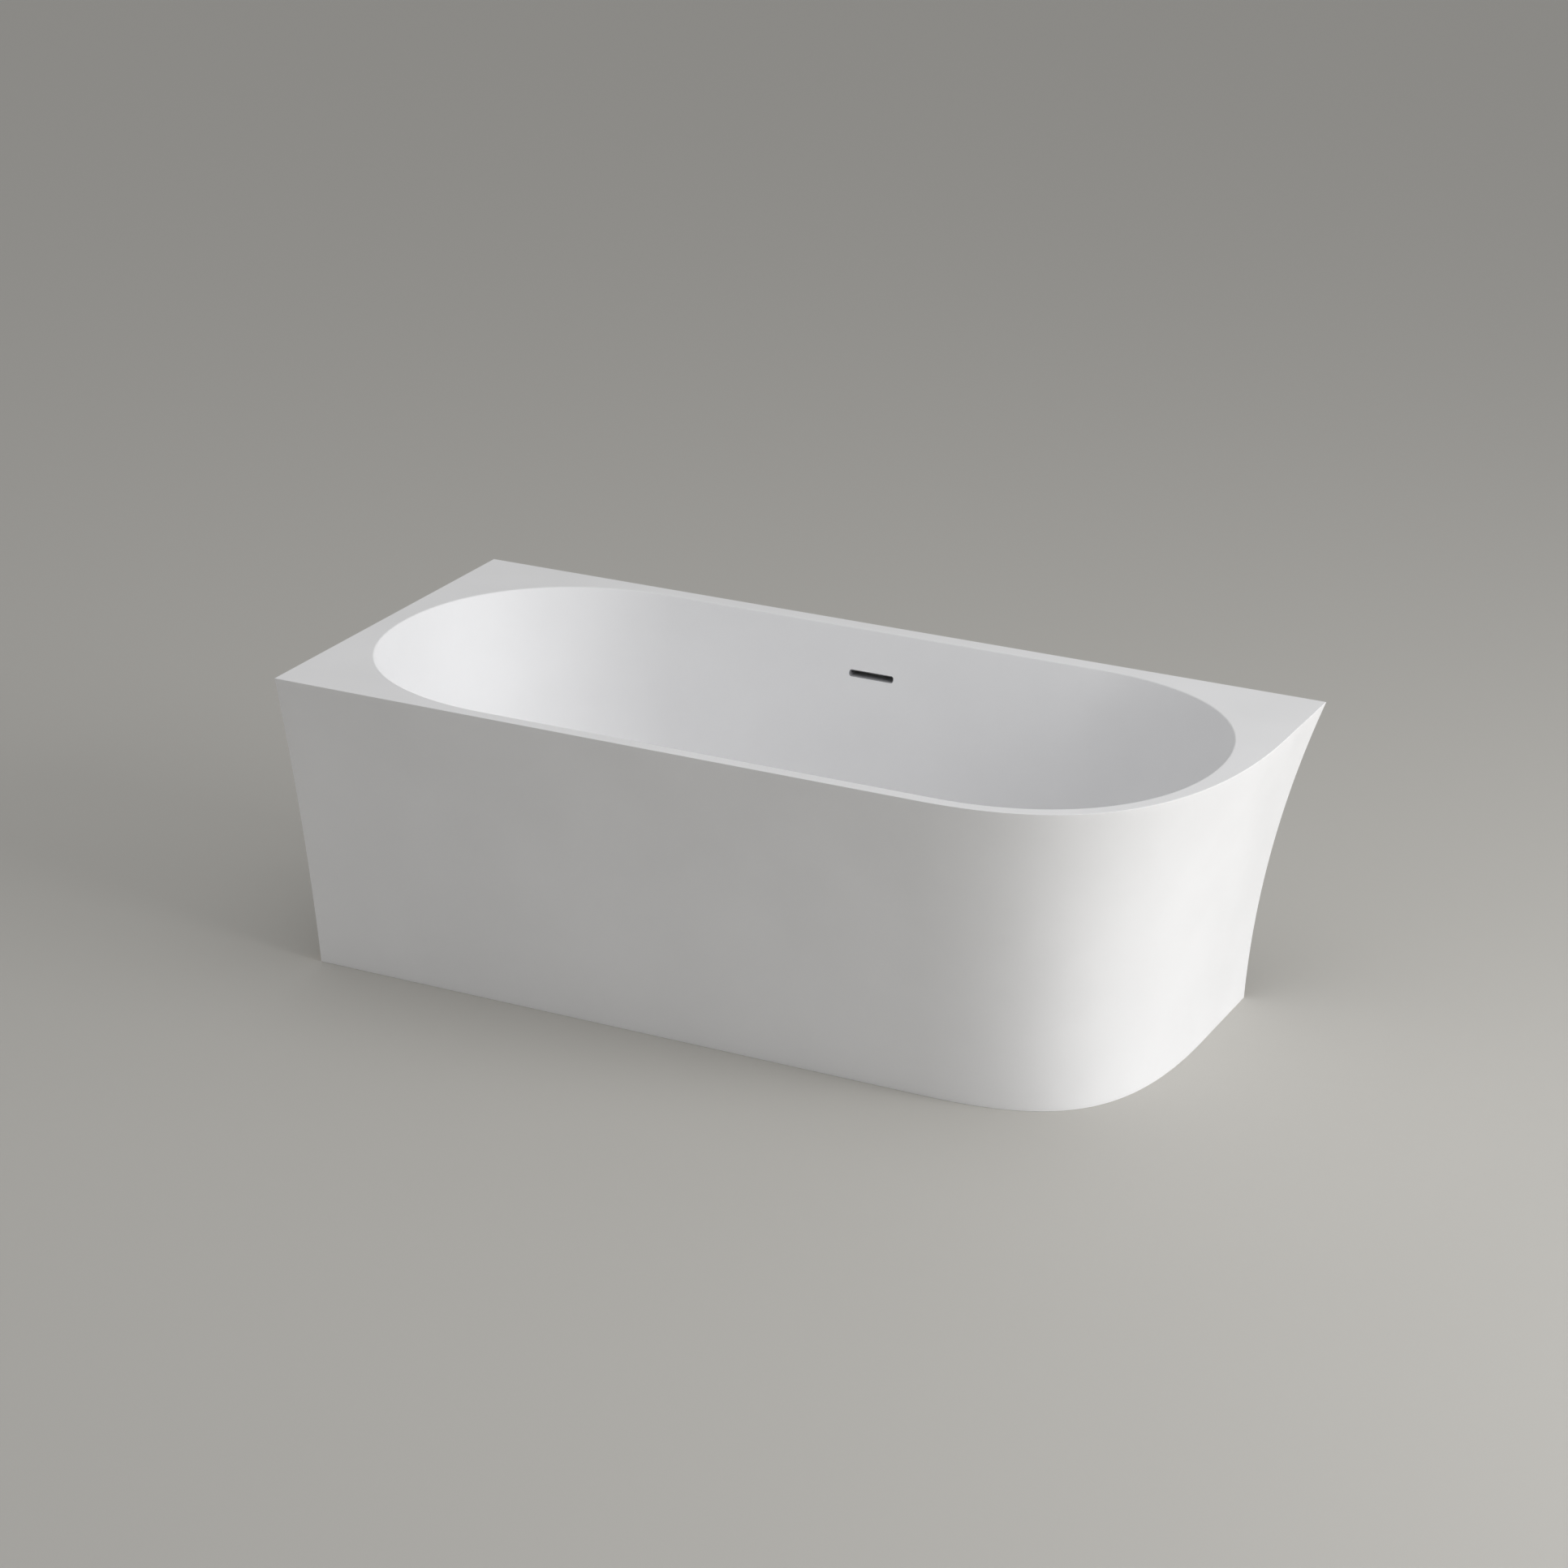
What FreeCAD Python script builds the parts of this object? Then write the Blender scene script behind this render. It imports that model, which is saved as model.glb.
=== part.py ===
import FreeCAD, Part
import math
import os

# A corner bathtub that stands against a back wall and a left wall.
# X runs along the back wall, Y towards it, Z up. The origin is on the floor, under the middle of the rim.
# All sizes are in millimetres.

# Overall
length = 1700.0
width = 780.0
height = 600.0
past_wall = 20.0                  # how far the cutting shapes run past the walls
past_face = 1.0                   # and past the face that they cut through

# Apron: its outline at the rim and at the floor, and the flare between them
flare_front = 125.0
flare_front_bow = 0.32            # 0 is a straight slope, 1 a curve that starts upright at the floor
flare_right = 119.0
flare_right_bow = 0.82
rim_corner_along = 444.0          # the rounded corner's reach along X, at the rim
rim_corner_out = 558.0            # and its reach along Y
rim_corner_fullness = 0.672       # 0.552 is an ellipse, 1 a square corner
floor_corner_along = 351.0
floor_corner_out = 444.0
floor_corner_fullness = 0.759
apron_levels = 4
apron_wall = 8.0

# Deck and the lip turned down along the two walls
deck_thickness = 12.0
lip_drop = 40.0
lip_thickness = 12.0
rim_front = 25.5
rim_back = 32.5
rim_left = 38.0
rim_right = 55.0

# Basin
mouth_end_reach = 371.0           # how much of the basin's length each round end takes at the rim
end_reach_loss = 0.5              # and how much of it is lost for each millimetre that the end comes in
basin_fullness = 0.596            # as the apron's corner: 0.552 is an ellipse
basin_floor_height = 185.0        # from the room's floor up to the basin's
basin_wall = 10.0
basin_floor = 18.0
end_wall_angle = 16.0             # degrees from upright
end_radius = 300.0                # from the sloping end into the floor
side_wall_angle = 15.0
side_radius = 85.0
floor_round_steps = 7
mouth_ease = 2.0

# Waste
waste_hole_radius = 26.0
waste_dish_radius = 150.0
waste_dish_depth = 4.0
flange_radius = 35.5
flange_clearance = 0.5
flange_plate = 2.0
flange_tail_radius = 25.5
flange_tail_bore = 22.5
flange_tail_length = 50.0
flange_mouth_ease = 1.0
top_gasket_thickness = 1.5
bottom_gasket_thickness = 3.0
gasket_radius = 40.0
thread_clearance = 0.1
spider_drop = 24.0                # from the flange's face down to the spider
spider_thickness = 4.0
spider_arm_width = 3.0
spider_arms = 3
spider_hub_radius = 10.0

# Plug and its cartridge
cartridge_radius = 7.0
cartridge_length = 22.0
cartridge_collar_radius = 9.0
cartridge_collar = 4.0
plunger_radius = 4.0
piston_radius = 5.0
piston_length = 6.0
piston_rest = 3.0                 # from the cartridge's open end up to the piston
slide_clearance = 0.05
plug_travel = 9.0
plug_stop_gap = 0.1
plug_radius = 34.0
plug_edge = 2.5
plug_dome = 3.0
plug_dome_steps = 4
plug_boss_radius = 9.0
plug_boss_length = 8.0
plug_boss_floor = 2.0
seal_thickness = 2.0
seal_inner_radius = 24.5
seal_outer_radius = 30.0

# Waste body
waste_body_radius = 30.0
waste_body_length = 82.0
waste_body_flange = 5.0
waste_body_floor = 4.0
waste_outlet_radius = 24.0
waste_outlet_bore = 20.0
inlet_drop = 63.0                 # from the shell's underside to the overflow inlet's axis
inlet_length = 24.0

# Overflow
slot_x = -13.0
slot_below_rim = 82.0
slot_length = 90.5
slot_height = 13.0
slot_round = 5.0
slot_lining = 1.5
lining_setback = 2.0              # from the basin's wall back to the lining's edge
pad_from_wall = 37.0
pad_length = 150.0
pad_height = 32.0
pad_root = 30.0
overflow_gasket = 2.0
gasket_margin = 2.0
overflow_box_length = 118.0
overflow_box_height = 104.0
overflow_box_depth = 26.0
overflow_box_wall = 2.5
overflow_box_round = 8.0
ear_reach = 14.0
ear_height = 22.0
ear_thickness = 5.0

# Pipes and nuts
pipe_radius = 13.0
pipe_wall = 2.0
pipe_bend_radius = 45.0
spigot_wall = 2.0
spigot_length = 26.0
socket_depth = 20.0
socket_clearance = 0.1
nut_wall = 3.5
nut_length = 12.0
nut_lip = 3.0
nut_clearance = 0.2

# Trap and outlet
trap_radius = 50.0
trap_wall = 3.0
trap_height = 48.0
trap_floor_gap = 12.0
trap_neck_height = 14.0
neck_overlap = 12.0               # how far the waste body's outlet reaches into the neck
trap_outlet_above_base = 24.0
trap_outlet_length = 28.0
outlet_radius = 20.0
outlet_wall = 2.5
outlet_end_gap = 20.0             # from the pipe's open end to the back wall
outlet_free_end = 60.0            # what a drain socket slides over, up to the stop ring
stop_ring_radius = 23.0
stop_ring_width = 4.0

# Support frame
board_thickness = 15.0
board_past_end = 120.0            # past the ends of the basin's flat floor
board_past_side = 30.0
board_corner_radius = 40.0
board_hole_clearance = 8.0
rail_size = 30.0
rail_wall = 2.0
long_rail_out = 120.0
cross_rail_out = 215.0
left_rail_inset = 40.0            # from the board's end to the cross rail's axis
right_rail_inset = 210.0
cap_thickness = 3.0
cap_plug = 12.0
cap_wall = 2.0

# Apron's inner pieces
batten_thickness = 18.0
batten_lift = 5.0
batten_height = 45.0
edge_rib_width = 30.0
edge_rib_thickness = 8.0
bracket_plate = 3.0
bracket_width = 26.0
bracket_lap = 25.0                # under the cross rail's end

# Feet
foot_out = 160.0
stem_radius = 6.0
stem_clearance = 0.08
stem_hole_clearance = 1.0
stem_top_gap = 3.0                # inside the rail
foot_hex_flats = 20.0
foot_hex_height = 8.0
foot_hex_gap = 4.0                # above the pad
foot_pad_radius = 24.0
foot_pad_edge = 4.0
foot_pad_height = 10.0
foot_pad_hub_radius = 12.0
foot_pad_floor = 3.0
weld_nut_flats = 22.0
weld_nut_height = 8.0
lock_nut_flats = 19.0
lock_nut_height = 6.0

# Wall brackets
wall_bracket_left = -480.0
wall_bracket_right = 430.0
wall_bracket_middle = 0.0
wall_bracket_plate = 3.0
wall_bracket_length = 80.0
wall_bracket_drop = 40.0          # below the lip
wall_bracket_rise = 27.0          # up the lip's inner face
wall_hole_radius = 3.5
wall_hole_spacing = 50.0
wall_hole_drop = 20.0

# Places worked out from the sizes above
wall_x = -length / 2
wall_y = width / 2
deck_bottom = height - deck_thickness
lip_bottom = deck_bottom - lip_drop
basin_half_length = (length - rim_left - rim_right) / 2
basin_half_width = (width - rim_front - rim_back) / 2
basin_x = (rim_left - rim_right) / 2
basin_y = (rim_front - rim_back) / 2
floor_top = basin_floor_height
basin_depth = height - floor_top
shell_bottom = floor_top - basin_floor
board_bottom = shell_bottom - board_thickness
long_rail_bottom = board_bottom - rail_size
cross_rail_bottom = long_rail_bottom - rail_size

waste_x = slot_x
waste_y = basin_y
flange_top = floor_top - waste_dish_depth
flange_bottom = flange_top - flange_plate
flange_recess = flange_radius + flange_clearance
flange_seat = flange_bottom - top_gasket_thickness
spider_top = flange_top - spider_drop
cartridge_bottom = spider_top - cartridge_length
piston_bottom = cartridge_bottom + piston_rest
piston_top = piston_bottom + piston_length
plug_bottom = flange_top + seal_thickness
body_top = shell_bottom - bottom_gasket_thickness
body_bottom = body_top - waste_body_length
body_bore = flange_tail_radius + thread_clearance
inlet_z = shell_bottom - inlet_drop
inlet_mouth_y = waste_y + waste_body_radius + inlet_length

slot_z = height - slot_below_rim
pad_y = wall_y - pad_from_wall
box_front = pad_y + overflow_gasket
box_back = box_front + overflow_box_depth
box_top = slot_z + pad_height / 2
box_bottom = box_top - overflow_box_height
pipe_y = (box_front + box_back) / 2
spigot_mouth_z = box_bottom - spigot_length
spigot_bore = pipe_radius + socket_clearance
spigot_radius = spigot_bore + spigot_wall
water_bore = pipe_radius - pipe_wall

trap_top = trap_floor_gap + trap_height
neck_top = trap_top + trap_neck_height
neck_bore = waste_outlet_radius + socket_clearance
neck_radius = neck_bore + trap_wall
trap_outlet_z = trap_floor_gap + trap_outlet_above_base
trap_mouth_y = waste_y + trap_radius + trap_outlet_length
trap_socket_bore = outlet_radius + socket_clearance
trap_spigot_radius = trap_socket_bore + trap_wall

up = FreeCAD.Vector(0, 0, 1)
down = FreeCAD.Vector(0, 0, -1)
to_back = FreeCAD.Vector(0, 1, 0)
to_front = FreeCAD.Vector(0, -1, 0)
to_right = FreeCAD.Vector(1, 0, 0)


# Shapes that several pieces use

def point(x, y, z):
    return FreeCAD.Vector(x, y, z)


def ahead(start, direction, distance):
    return start.add(FreeCAD.Vector(direction).multiply(distance))


def block(x_low, x_high, y_low, y_high, z_low, z_high):
    corner = point(x_low, y_low, z_low)
    return Part.makeBox(x_high - x_low, y_high - y_low, z_high - z_low, corner)


def rod(radius, start, direction, distance):
    return Part.makeCylinder(radius, distance, start, direction)


def ring(outer, inner, start, direction, distance):
    return rod(outer, start, direction, distance).cut(rod(inner, start, direction, distance))


def flat_face(corners):
    return Part.Face(Part.makePolygon(corners + [corners[0]]))


def turned(profile):
    # A profile of (radius, height) pairs, turned about the waste's upright axis.
    face = flat_face([point(waste_x + r, waste_y, z) for r, z in profile])
    return face.revolve(point(waste_x, waste_y, 0), up, 360)


def hexagon(flats, x, y, z_low, z_high):
    radius = flats / math.sqrt(3)
    turns = [math.radians(60 * i) for i in range(6)]
    corners = [point(x + radius * math.cos(a), y + radius * math.sin(a), z_low) for a in turns]
    return flat_face(corners).extrude(up * (z_high - z_low))


def joined(solids):
    return solids[0].fuse(solids[1:]).removeSplitter()


def rounded_bar(x, z, half_length, half_height, radius, y_low, y_high):
    # A bar along Y whose section has rounded corners.
    bar = block(x - half_length, x + half_length, y_low, y_high, z - half_height, z + half_height)
    along_y = [e for e in bar.Edges if abs(e.tangentAt(e.FirstParameter).y) > 0.9]
    return bar.makeFillet(radius, along_y)


def full_corner(start, corner, end, fullness):
    # A quarter round from start to end. The fuller it is, the closer it keeps to the square corner.
    curve = Part.BezierCurve()
    curve.setPoles([start, start.add(corner.sub(start).multiply(fullness)),
                    end.add(corner.sub(end).multiply(fullness)), end])
    return curve.toShape()


def pipe_nut(mouth, direction, thread_radius, tube_radius):
    # A ring nut over a spigot's mouth, with a lip that closes round the tube.
    outer = thread_radius + nut_clearance + nut_wall
    sleeve = ring(outer, thread_radius + nut_clearance, ahead(mouth, direction, -nut_length),
                  direction, nut_length)
    lip = ring(outer, tube_radius + nut_clearance, mouth, direction, nut_lip)
    return joined([sleeve, lip])


# Apron

def apron_inset(z):
    share = max(z, 0.0) / height
    front = flare_front * (1 - share) * (1 + flare_front_bow * share)
    right = flare_right * (1 - share) * (1 + flare_right_bow * share)
    return front, right


def between(low, high, z):
    return low + (high - low) * max(z, 0.0) / height


def outline(z, wall):
    # The apron's plan at height z, drawn in by wall on its front and right sides.
    front_inset, right_inset = apron_inset(z)
    front_y = -width / 2 + front_inset + wall
    right_x = length / 2 - right_inset - wall
    along = between(floor_corner_along, rim_corner_along, z) - wall
    out = between(floor_corner_out, rim_corner_out, z) - wall
    fullness = between(floor_corner_fullness, rim_corner_fullness, z)
    corner_start = point(right_x - along, front_y, z)
    corner_end = point(right_x, front_y + out, z)
    front_left = point(wall_x - past_wall, front_y, z)
    back_right = point(right_x, wall_y + past_wall, z)
    back_left = point(wall_x - past_wall, wall_y + past_wall, z)
    return Part.Wire([
        Part.makeLine(front_left, corner_start),
        full_corner(corner_start, point(right_x, front_y, z), corner_end, fullness),
        Part.makeLine(corner_end, back_right),
        Part.makeLine(back_right, back_left),
        Part.makeLine(back_left, front_left),
    ])


def apron_loft(top, wall, ruled):
    levels = [top * i / apron_levels for i in range(apron_levels + 1)]
    return Part.makeLoft([outline(z, wall) for z in levels], True, ruled)


def room():
    # The space in front of the back wall and right of the left wall.
    return block(wall_x, length, -width, wall_y, -height, 2 * height)


def deck_plate():
    # The plate's edge is mitred and meets the apron's mitre at the rim's sharp edge.
    bottom = outline(deck_bottom, apron_wall)
    return Part.makeLoft([bottom, outline(height, 0.0)], True, True).common(room())


def under_deck(wall):
    return apron_loft(deck_bottom, wall, True).common(room())


def outer_apron(inner_space, deck):
    return apron_loft(height, 0.0, False).common(room()).cut(inner_space).cut(deck)


def plinth_batten(inner_space):
    # It follows the apron outside and is sawn upright inside.
    batten_top = batten_lift + batten_height
    inside = Part.Face(outline(0.0, apron_wall + batten_thickness)).extrude(up * batten_top)
    layer = block(wall_x, length, -width, wall_y, batten_lift, batten_top)
    return inner_space.common(layer).cut(inside)


def edge_ribs(inner_space):
    band = inner_space.cut(under_deck(apron_wall + edge_rib_thickness))
    low = batten_lift + batten_height
    left = block(wall_x, wall_x + edge_rib_width, -width, 0, low, lip_bottom)
    right = block(0, length, wall_y - edge_rib_width, wall_y, low, lip_bottom)
    return band.common(left), band.common(right)


# Bath shell

def wall_run(depth, angle, radius):
    # How far a wall has come in at this depth: a straight slope, then a round into the floor.
    lean = math.radians(angle)
    round_start = basin_depth - radius * (1 - math.sin(lean))
    if depth <= round_start:
        return depth * math.tan(lean)
    full = round_start * math.tan(lean) + radius * math.cos(lean)
    rise = min(depth - (basin_depth - radius), radius)
    return full - math.sqrt(radius ** 2 - rise ** 2)


def basin_section(depth, grow, drop):
    # The basin's oval at this depth. The outer skin's sections are grown, and dropped towards the floor.
    share = depth / basin_depth
    z = height - depth - drop * share ** 3
    end_run = wall_run(depth, end_wall_angle, end_radius)
    half_length = basin_half_length - end_run + grow
    half_width = basin_half_width - wall_run(depth, side_wall_angle, side_radius) + grow
    reach = mouth_end_reach - end_reach_loss * end_run + grow
    right = basin_x + half_length
    left = basin_x - half_length
    front = basin_y - half_width
    back = basin_y + half_width
    right_end = point(right, basin_y, z)
    left_end = point(left, basin_y, z)
    front_right = point(right - reach, front, z)
    back_right = point(right - reach, back, z)
    front_left = point(left + reach, front, z)
    back_left = point(left + reach, back, z)
    return Part.Wire([
        full_corner(front_right, point(right, front, z), right_end, basin_fullness),
        full_corner(right_end, point(right, back, z), back_right, basin_fullness),
        Part.makeLine(back_right, back_left),
        full_corner(back_left, point(left, back, z), left_end, basin_fullness),
        full_corner(left_end, point(left, front, z), front_left, basin_fullness),
        Part.makeLine(front_left, front_right),
    ])


def basin_depths():
    # The rim, then equal turns through the round at the basin's ends, down to the floor.
    lean = math.radians(end_wall_angle)
    turn = (math.pi / 2 - lean) / floor_round_steps
    turns = [lean + turn * i for i in range(floor_round_steps + 1)]
    return [0.0] + [basin_depth - end_radius * (1 - math.sin(t)) for t in turns]


def basin_form(grow, drop):
    return Part.makeLoft([basin_section(d, grow, drop) for d in basin_depths()], True, True)


def slot_bar(shrink, y_low, y_high):
    return rounded_bar(slot_x, slot_z, slot_length / 2 - shrink, slot_height / 2 - shrink,
                       slot_round - shrink, y_low, y_high)


def waste_cut():
    # The shallow dish in the floor, the flange's seat and the hole.
    return turned([(0, floor_top), (waste_dish_radius, floor_top), (flange_recess, flange_top),
                   (flange_recess, flange_seat), (waste_hole_radius, flange_seat),
                   (waste_hole_radius, shell_bottom - past_face), (0, shell_bottom - past_face)])


def bath_shell(inner_space, deck):
    back_lip = block(wall_x, length, wall_y - lip_thickness, wall_y, lip_bottom, deck_bottom)
    left_lip = block(wall_x, wall_x + lip_thickness, -width, wall_y, lip_bottom, deck_bottom)
    lips = joined([back_lip, left_lip]).common(inner_space)
    pad = block(slot_x - pad_length / 2, slot_x + pad_length / 2, pad_y - pad_root, pad_y,
                slot_z - pad_height / 2, slot_z + pad_height / 2)
    skin = basin_form(basin_wall, basin_floor).common(inner_space)
    body = joined([deck, lips, skin, pad])
    body = body.cut(basin_form(0.0, 0.0))
    eased_edge = Part.makeLoft([basin_section(mouth_ease, 0.0, 0.0), basin_section(0.0, mouth_ease, 0.0)],
                               True, True)
    return body.cut(eased_edge).cut(slot_bar(0.0, basin_y, wall_y)).cut(waste_cut())


# Waste and plug

def waste_flange():
    tail_bottom = flange_bottom - flange_tail_length
    body = turned([(flange_tail_bore, flange_top - flange_mouth_ease),
                   (flange_tail_bore + flange_mouth_ease, flange_top), (flange_radius, flange_top),
                   (flange_radius, flange_bottom), (flange_tail_radius, flange_bottom),
                   (flange_tail_radius, tail_bottom), (flange_tail_bore, tail_bottom)])
    centre = point(waste_x, waste_y, spider_top - spider_thickness)
    arm_reach = (flange_tail_bore + flange_tail_radius) / 2
    arms = []
    for turn in range(spider_arms):
        arm = Part.makeBox(arm_reach, spider_arm_width, spider_thickness,
                           point(waste_x, waste_y - spider_arm_width / 2, centre.z))
        arm.rotate(centre, up, 360 * turn / spider_arms)
        arms.append(arm)
    hub = rod(spider_hub_radius, centre, up, spider_thickness)
    bore = rod(cartridge_radius, centre, up, spider_thickness)
    return joined([body, hub] + arms).cut(bore)


def gasket_ring(outer, z_low, thickness):
    return ring(outer, waste_hole_radius, point(waste_x, waste_y, z_low), up, thickness)


def click_cartridge():
    chamber_top = piston_top + plug_travel + plug_stop_gap
    chamber_radius = piston_radius + slide_clearance
    guide_radius = plunger_radius + slide_clearance
    top = spider_top + cartridge_collar
    return turned([(chamber_radius, cartridge_bottom), (cartridge_radius, cartridge_bottom),
                   (cartridge_radius, spider_top), (cartridge_collar_radius, spider_top),
                   (cartridge_collar_radius, top), (guide_radius, top), (guide_radius, chamber_top),
                   (chamber_radius, chamber_top)])


def plug_plunger():
    plunger_top = plug_bottom - plug_boss_floor
    return turned([(0, piston_bottom), (piston_radius, piston_bottom), (piston_radius, piston_top),
                   (plunger_radius, piston_top), (plunger_radius, plunger_top), (0, plunger_top)])


def plug_cap():
    # A low dome over a flat disc, with a boss below that takes the plunger.
    edge_z = plug_bottom + plug_edge
    dome = []
    for step in range(plug_dome_steps + 1):
        share = 1 - step / plug_dome_steps
        dome.append((plug_radius * share, edge_z + plug_dome * (1 - share ** 2)))
    disc = turned([(0, plug_bottom), (plug_radius, plug_bottom)] + dome)
    boss = rod(plug_boss_radius, point(waste_x, waste_y, plug_bottom), down, plug_boss_length)
    return joined([disc, boss]).cut(plug_plunger())


def plug_seal():
    return ring(seal_outer_radius, seal_inner_radius, point(waste_x, waste_y, flange_top), up, seal_thickness)


def waste_body():
    flange_low = body_top - waste_body_flange
    floor_z = body_bottom + waste_body_floor
    outlet_bottom = neck_top - neck_overlap
    body = turned([(body_bore, body_top), (gasket_radius, body_top), (gasket_radius, flange_low),
                   (waste_body_radius, flange_low), (waste_body_radius, body_bottom),
                   (waste_outlet_radius, body_bottom), (waste_outlet_radius, outlet_bottom),
                   (waste_outlet_bore, outlet_bottom), (waste_outlet_bore, floor_z), (body_bore, floor_z)])
    axis = point(waste_x, waste_y, inlet_z)
    mouth = point(waste_x, inlet_mouth_y, inlet_z)
    spigot = rod(spigot_radius, axis, to_back, inlet_mouth_y - waste_y)
    spigot = spigot.cut(rod(body_bore, point(waste_x, waste_y, body_bottom), up, waste_body_length))
    body = joined([body, spigot]).cut(rod(spigot_bore, mouth, to_front, socket_depth))
    return body.cut(rod(water_bore, axis, to_back, inlet_mouth_y - waste_y))


# Overflow

def slot_lining_sleeve():
    front_y = basin_y + basin_half_width - wall_run(slot_below_rim, side_wall_angle, side_radius) + lining_setback
    outer = slot_bar(0.0, front_y, box_front)
    return outer.cut(slot_bar(slot_lining, front_y, box_front))


def overflow_seal():
    plate = rounded_bar(slot_x, slot_z, pad_length / 2 - gasket_margin, pad_height / 2 - gasket_margin,
                        overflow_box_round, pad_y, box_front)
    return plate.cut(slot_bar(0.0, pad_y, box_front))


def overflow_box():
    middle_z = (box_top + box_bottom) / 2
    half_length = overflow_box_length / 2
    half_height = overflow_box_height / 2
    wall = overflow_box_wall
    body = rounded_bar(slot_x, middle_z, half_length, half_height, overflow_box_round, box_front, box_back)
    ears = block(slot_x - half_length - ear_reach, slot_x + half_length + ear_reach, box_front,
                 box_front + ear_thickness, slot_z - ear_height / 2, slot_z + ear_height / 2)
    mouth = point(slot_x, pipe_y, spigot_mouth_z)
    spigot = rod(spigot_radius, mouth, up, spigot_length + wall)
    hollow = block(slot_x - half_length + wall, slot_x + half_length - wall, box_front + wall,
                   box_back - wall, box_bottom + wall, box_top - wall)
    solid = joined([body, ears, spigot]).cut(hollow).cut(rod(spigot_bore, mouth, up, socket_depth))
    solid = solid.cut(rod(overflow_box_depth / 2 - wall, mouth, up, spigot_length + 2 * wall))
    return solid.cut(slot_bar(0.0, box_front, pipe_y))


def overflow_pipe():
    # Down from the overflow box, round a bend and forwards to the waste body.
    top = point(slot_x, pipe_y, spigot_mouth_z + socket_depth)
    bend_start = point(slot_x, pipe_y, inlet_z + pipe_bend_radius)
    bend_end = point(slot_x, pipe_y - pipe_bend_radius, inlet_z)
    bend_centre = point(slot_x, pipe_y - pipe_bend_radius, inlet_z + pipe_bend_radius)
    section = Part.Face(Part.Wire(Part.makeCircle(pipe_radius, bend_start, up)))
    section = section.cut(Part.Face(Part.Wire(Part.makeCircle(water_bore, bend_start, up))))
    bend = section.revolve(bend_centre, to_right, -90)
    upright = ring(pipe_radius, water_bore, top, down, top.z - bend_start.z)
    level = ring(pipe_radius, water_bore, bend_end, to_front, bend_end.y - inlet_mouth_y + socket_depth)
    return joined([upright, bend, level])


# Trap and outlet

def trap_body():
    wall = trap_wall
    drum = turned([(neck_bore, neck_top), (neck_radius, neck_top), (neck_radius, trap_top),
                   (trap_radius, trap_top), (trap_radius, trap_floor_gap), (0, trap_floor_gap),
                   (0, trap_floor_gap + wall), (trap_radius - wall, trap_floor_gap + wall),
                   (trap_radius - wall, trap_top - wall), (neck_bore, trap_top - wall)])
    axis = point(waste_x, waste_y, trap_outlet_z)
    reach = trap_mouth_y - waste_y
    hollow = rod(trap_radius - wall, point(waste_x, waste_y, trap_floor_gap), up, trap_height)
    spigot = rod(trap_spigot_radius, axis, to_back, reach).cut(hollow)
    mouth = point(waste_x, trap_mouth_y, trap_outlet_z)
    body = joined([drum, spigot]).cut(rod(trap_socket_bore, mouth, to_front, socket_depth))
    return body.cut(rod(outlet_radius - outlet_wall, axis, to_back, reach))


def outlet_pipe():
    start = point(waste_x, trap_mouth_y - socket_depth, trap_outlet_z)
    end_y = wall_y - outlet_end_gap
    bore = outlet_radius - outlet_wall
    tube = ring(outlet_radius, bore, start, to_back, end_y - start.y)
    stop = point(waste_x, end_y - outlet_free_end, trap_outlet_z)
    return joined([tube, ring(stop_ring_radius, bore, stop, to_front, stop_ring_width)])


# Support frame

def floor_half_sizes():
    half_length = basin_half_length - wall_run(basin_depth, end_wall_angle, end_radius)
    half_width = basin_half_width - wall_run(basin_depth, side_wall_angle, side_radius)
    return half_length, half_width


def board_ends():
    reach = floor_half_sizes()[0] + board_past_end
    return basin_x - reach, basin_x + reach


def cross_rail_places():
    board_left, board_right = board_ends()
    return {"left": board_left + left_rail_inset, "right": board_right - right_rail_inset}


def foot_places():
    places = {}
    for end, x in cross_rail_places().items():
        places[end + "_front"] = (x, -foot_out)
        places[end + "_back"] = (x, foot_out)
    return places


def base_board():
    left, right = board_ends()
    half_width = floor_half_sizes()[1] + board_past_side
    board = block(left, right, basin_y - half_width, basin_y + half_width, board_bottom, shell_bottom)
    upright = [e for e in board.Edges if abs(e.tangentAt(e.FirstParameter).z) > 0.9]
    board = board.makeFillet(board_corner_radius, upright)
    hole = rod(gasket_radius + board_hole_clearance, point(waste_x, waste_y, board_bottom), up, board_thickness)
    return board.cut(hole)


def long_rail(y):
    left, right = board_ends()
    half = rail_size / 2
    inner = half - rail_wall
    tube = block(left, right, y - half, y + half, long_rail_bottom, board_bottom)
    hollow = block(left, right, y - inner, y + inner, long_rail_bottom + rail_wall, board_bottom - rail_wall)
    return tube.cut(hollow)


def cross_rail(x):
    half = rail_size / 2
    inner = half - rail_wall
    reach = cross_rail_out
    tube = block(x - half, x + half, -reach, reach, cross_rail_bottom, long_rail_bottom)
    hollow = block(x - inner, x + inner, -reach, reach, cross_rail_bottom + rail_wall,
                   long_rail_bottom - rail_wall)
    rail = tube.cut(hollow)
    for side in (-1, 1):
        foot = point(x, side * foot_out, cross_rail_bottom)
        rail = rail.cut(rod(stem_radius + stem_hole_clearance, foot, up, rail_wall))
    return rail


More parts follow.
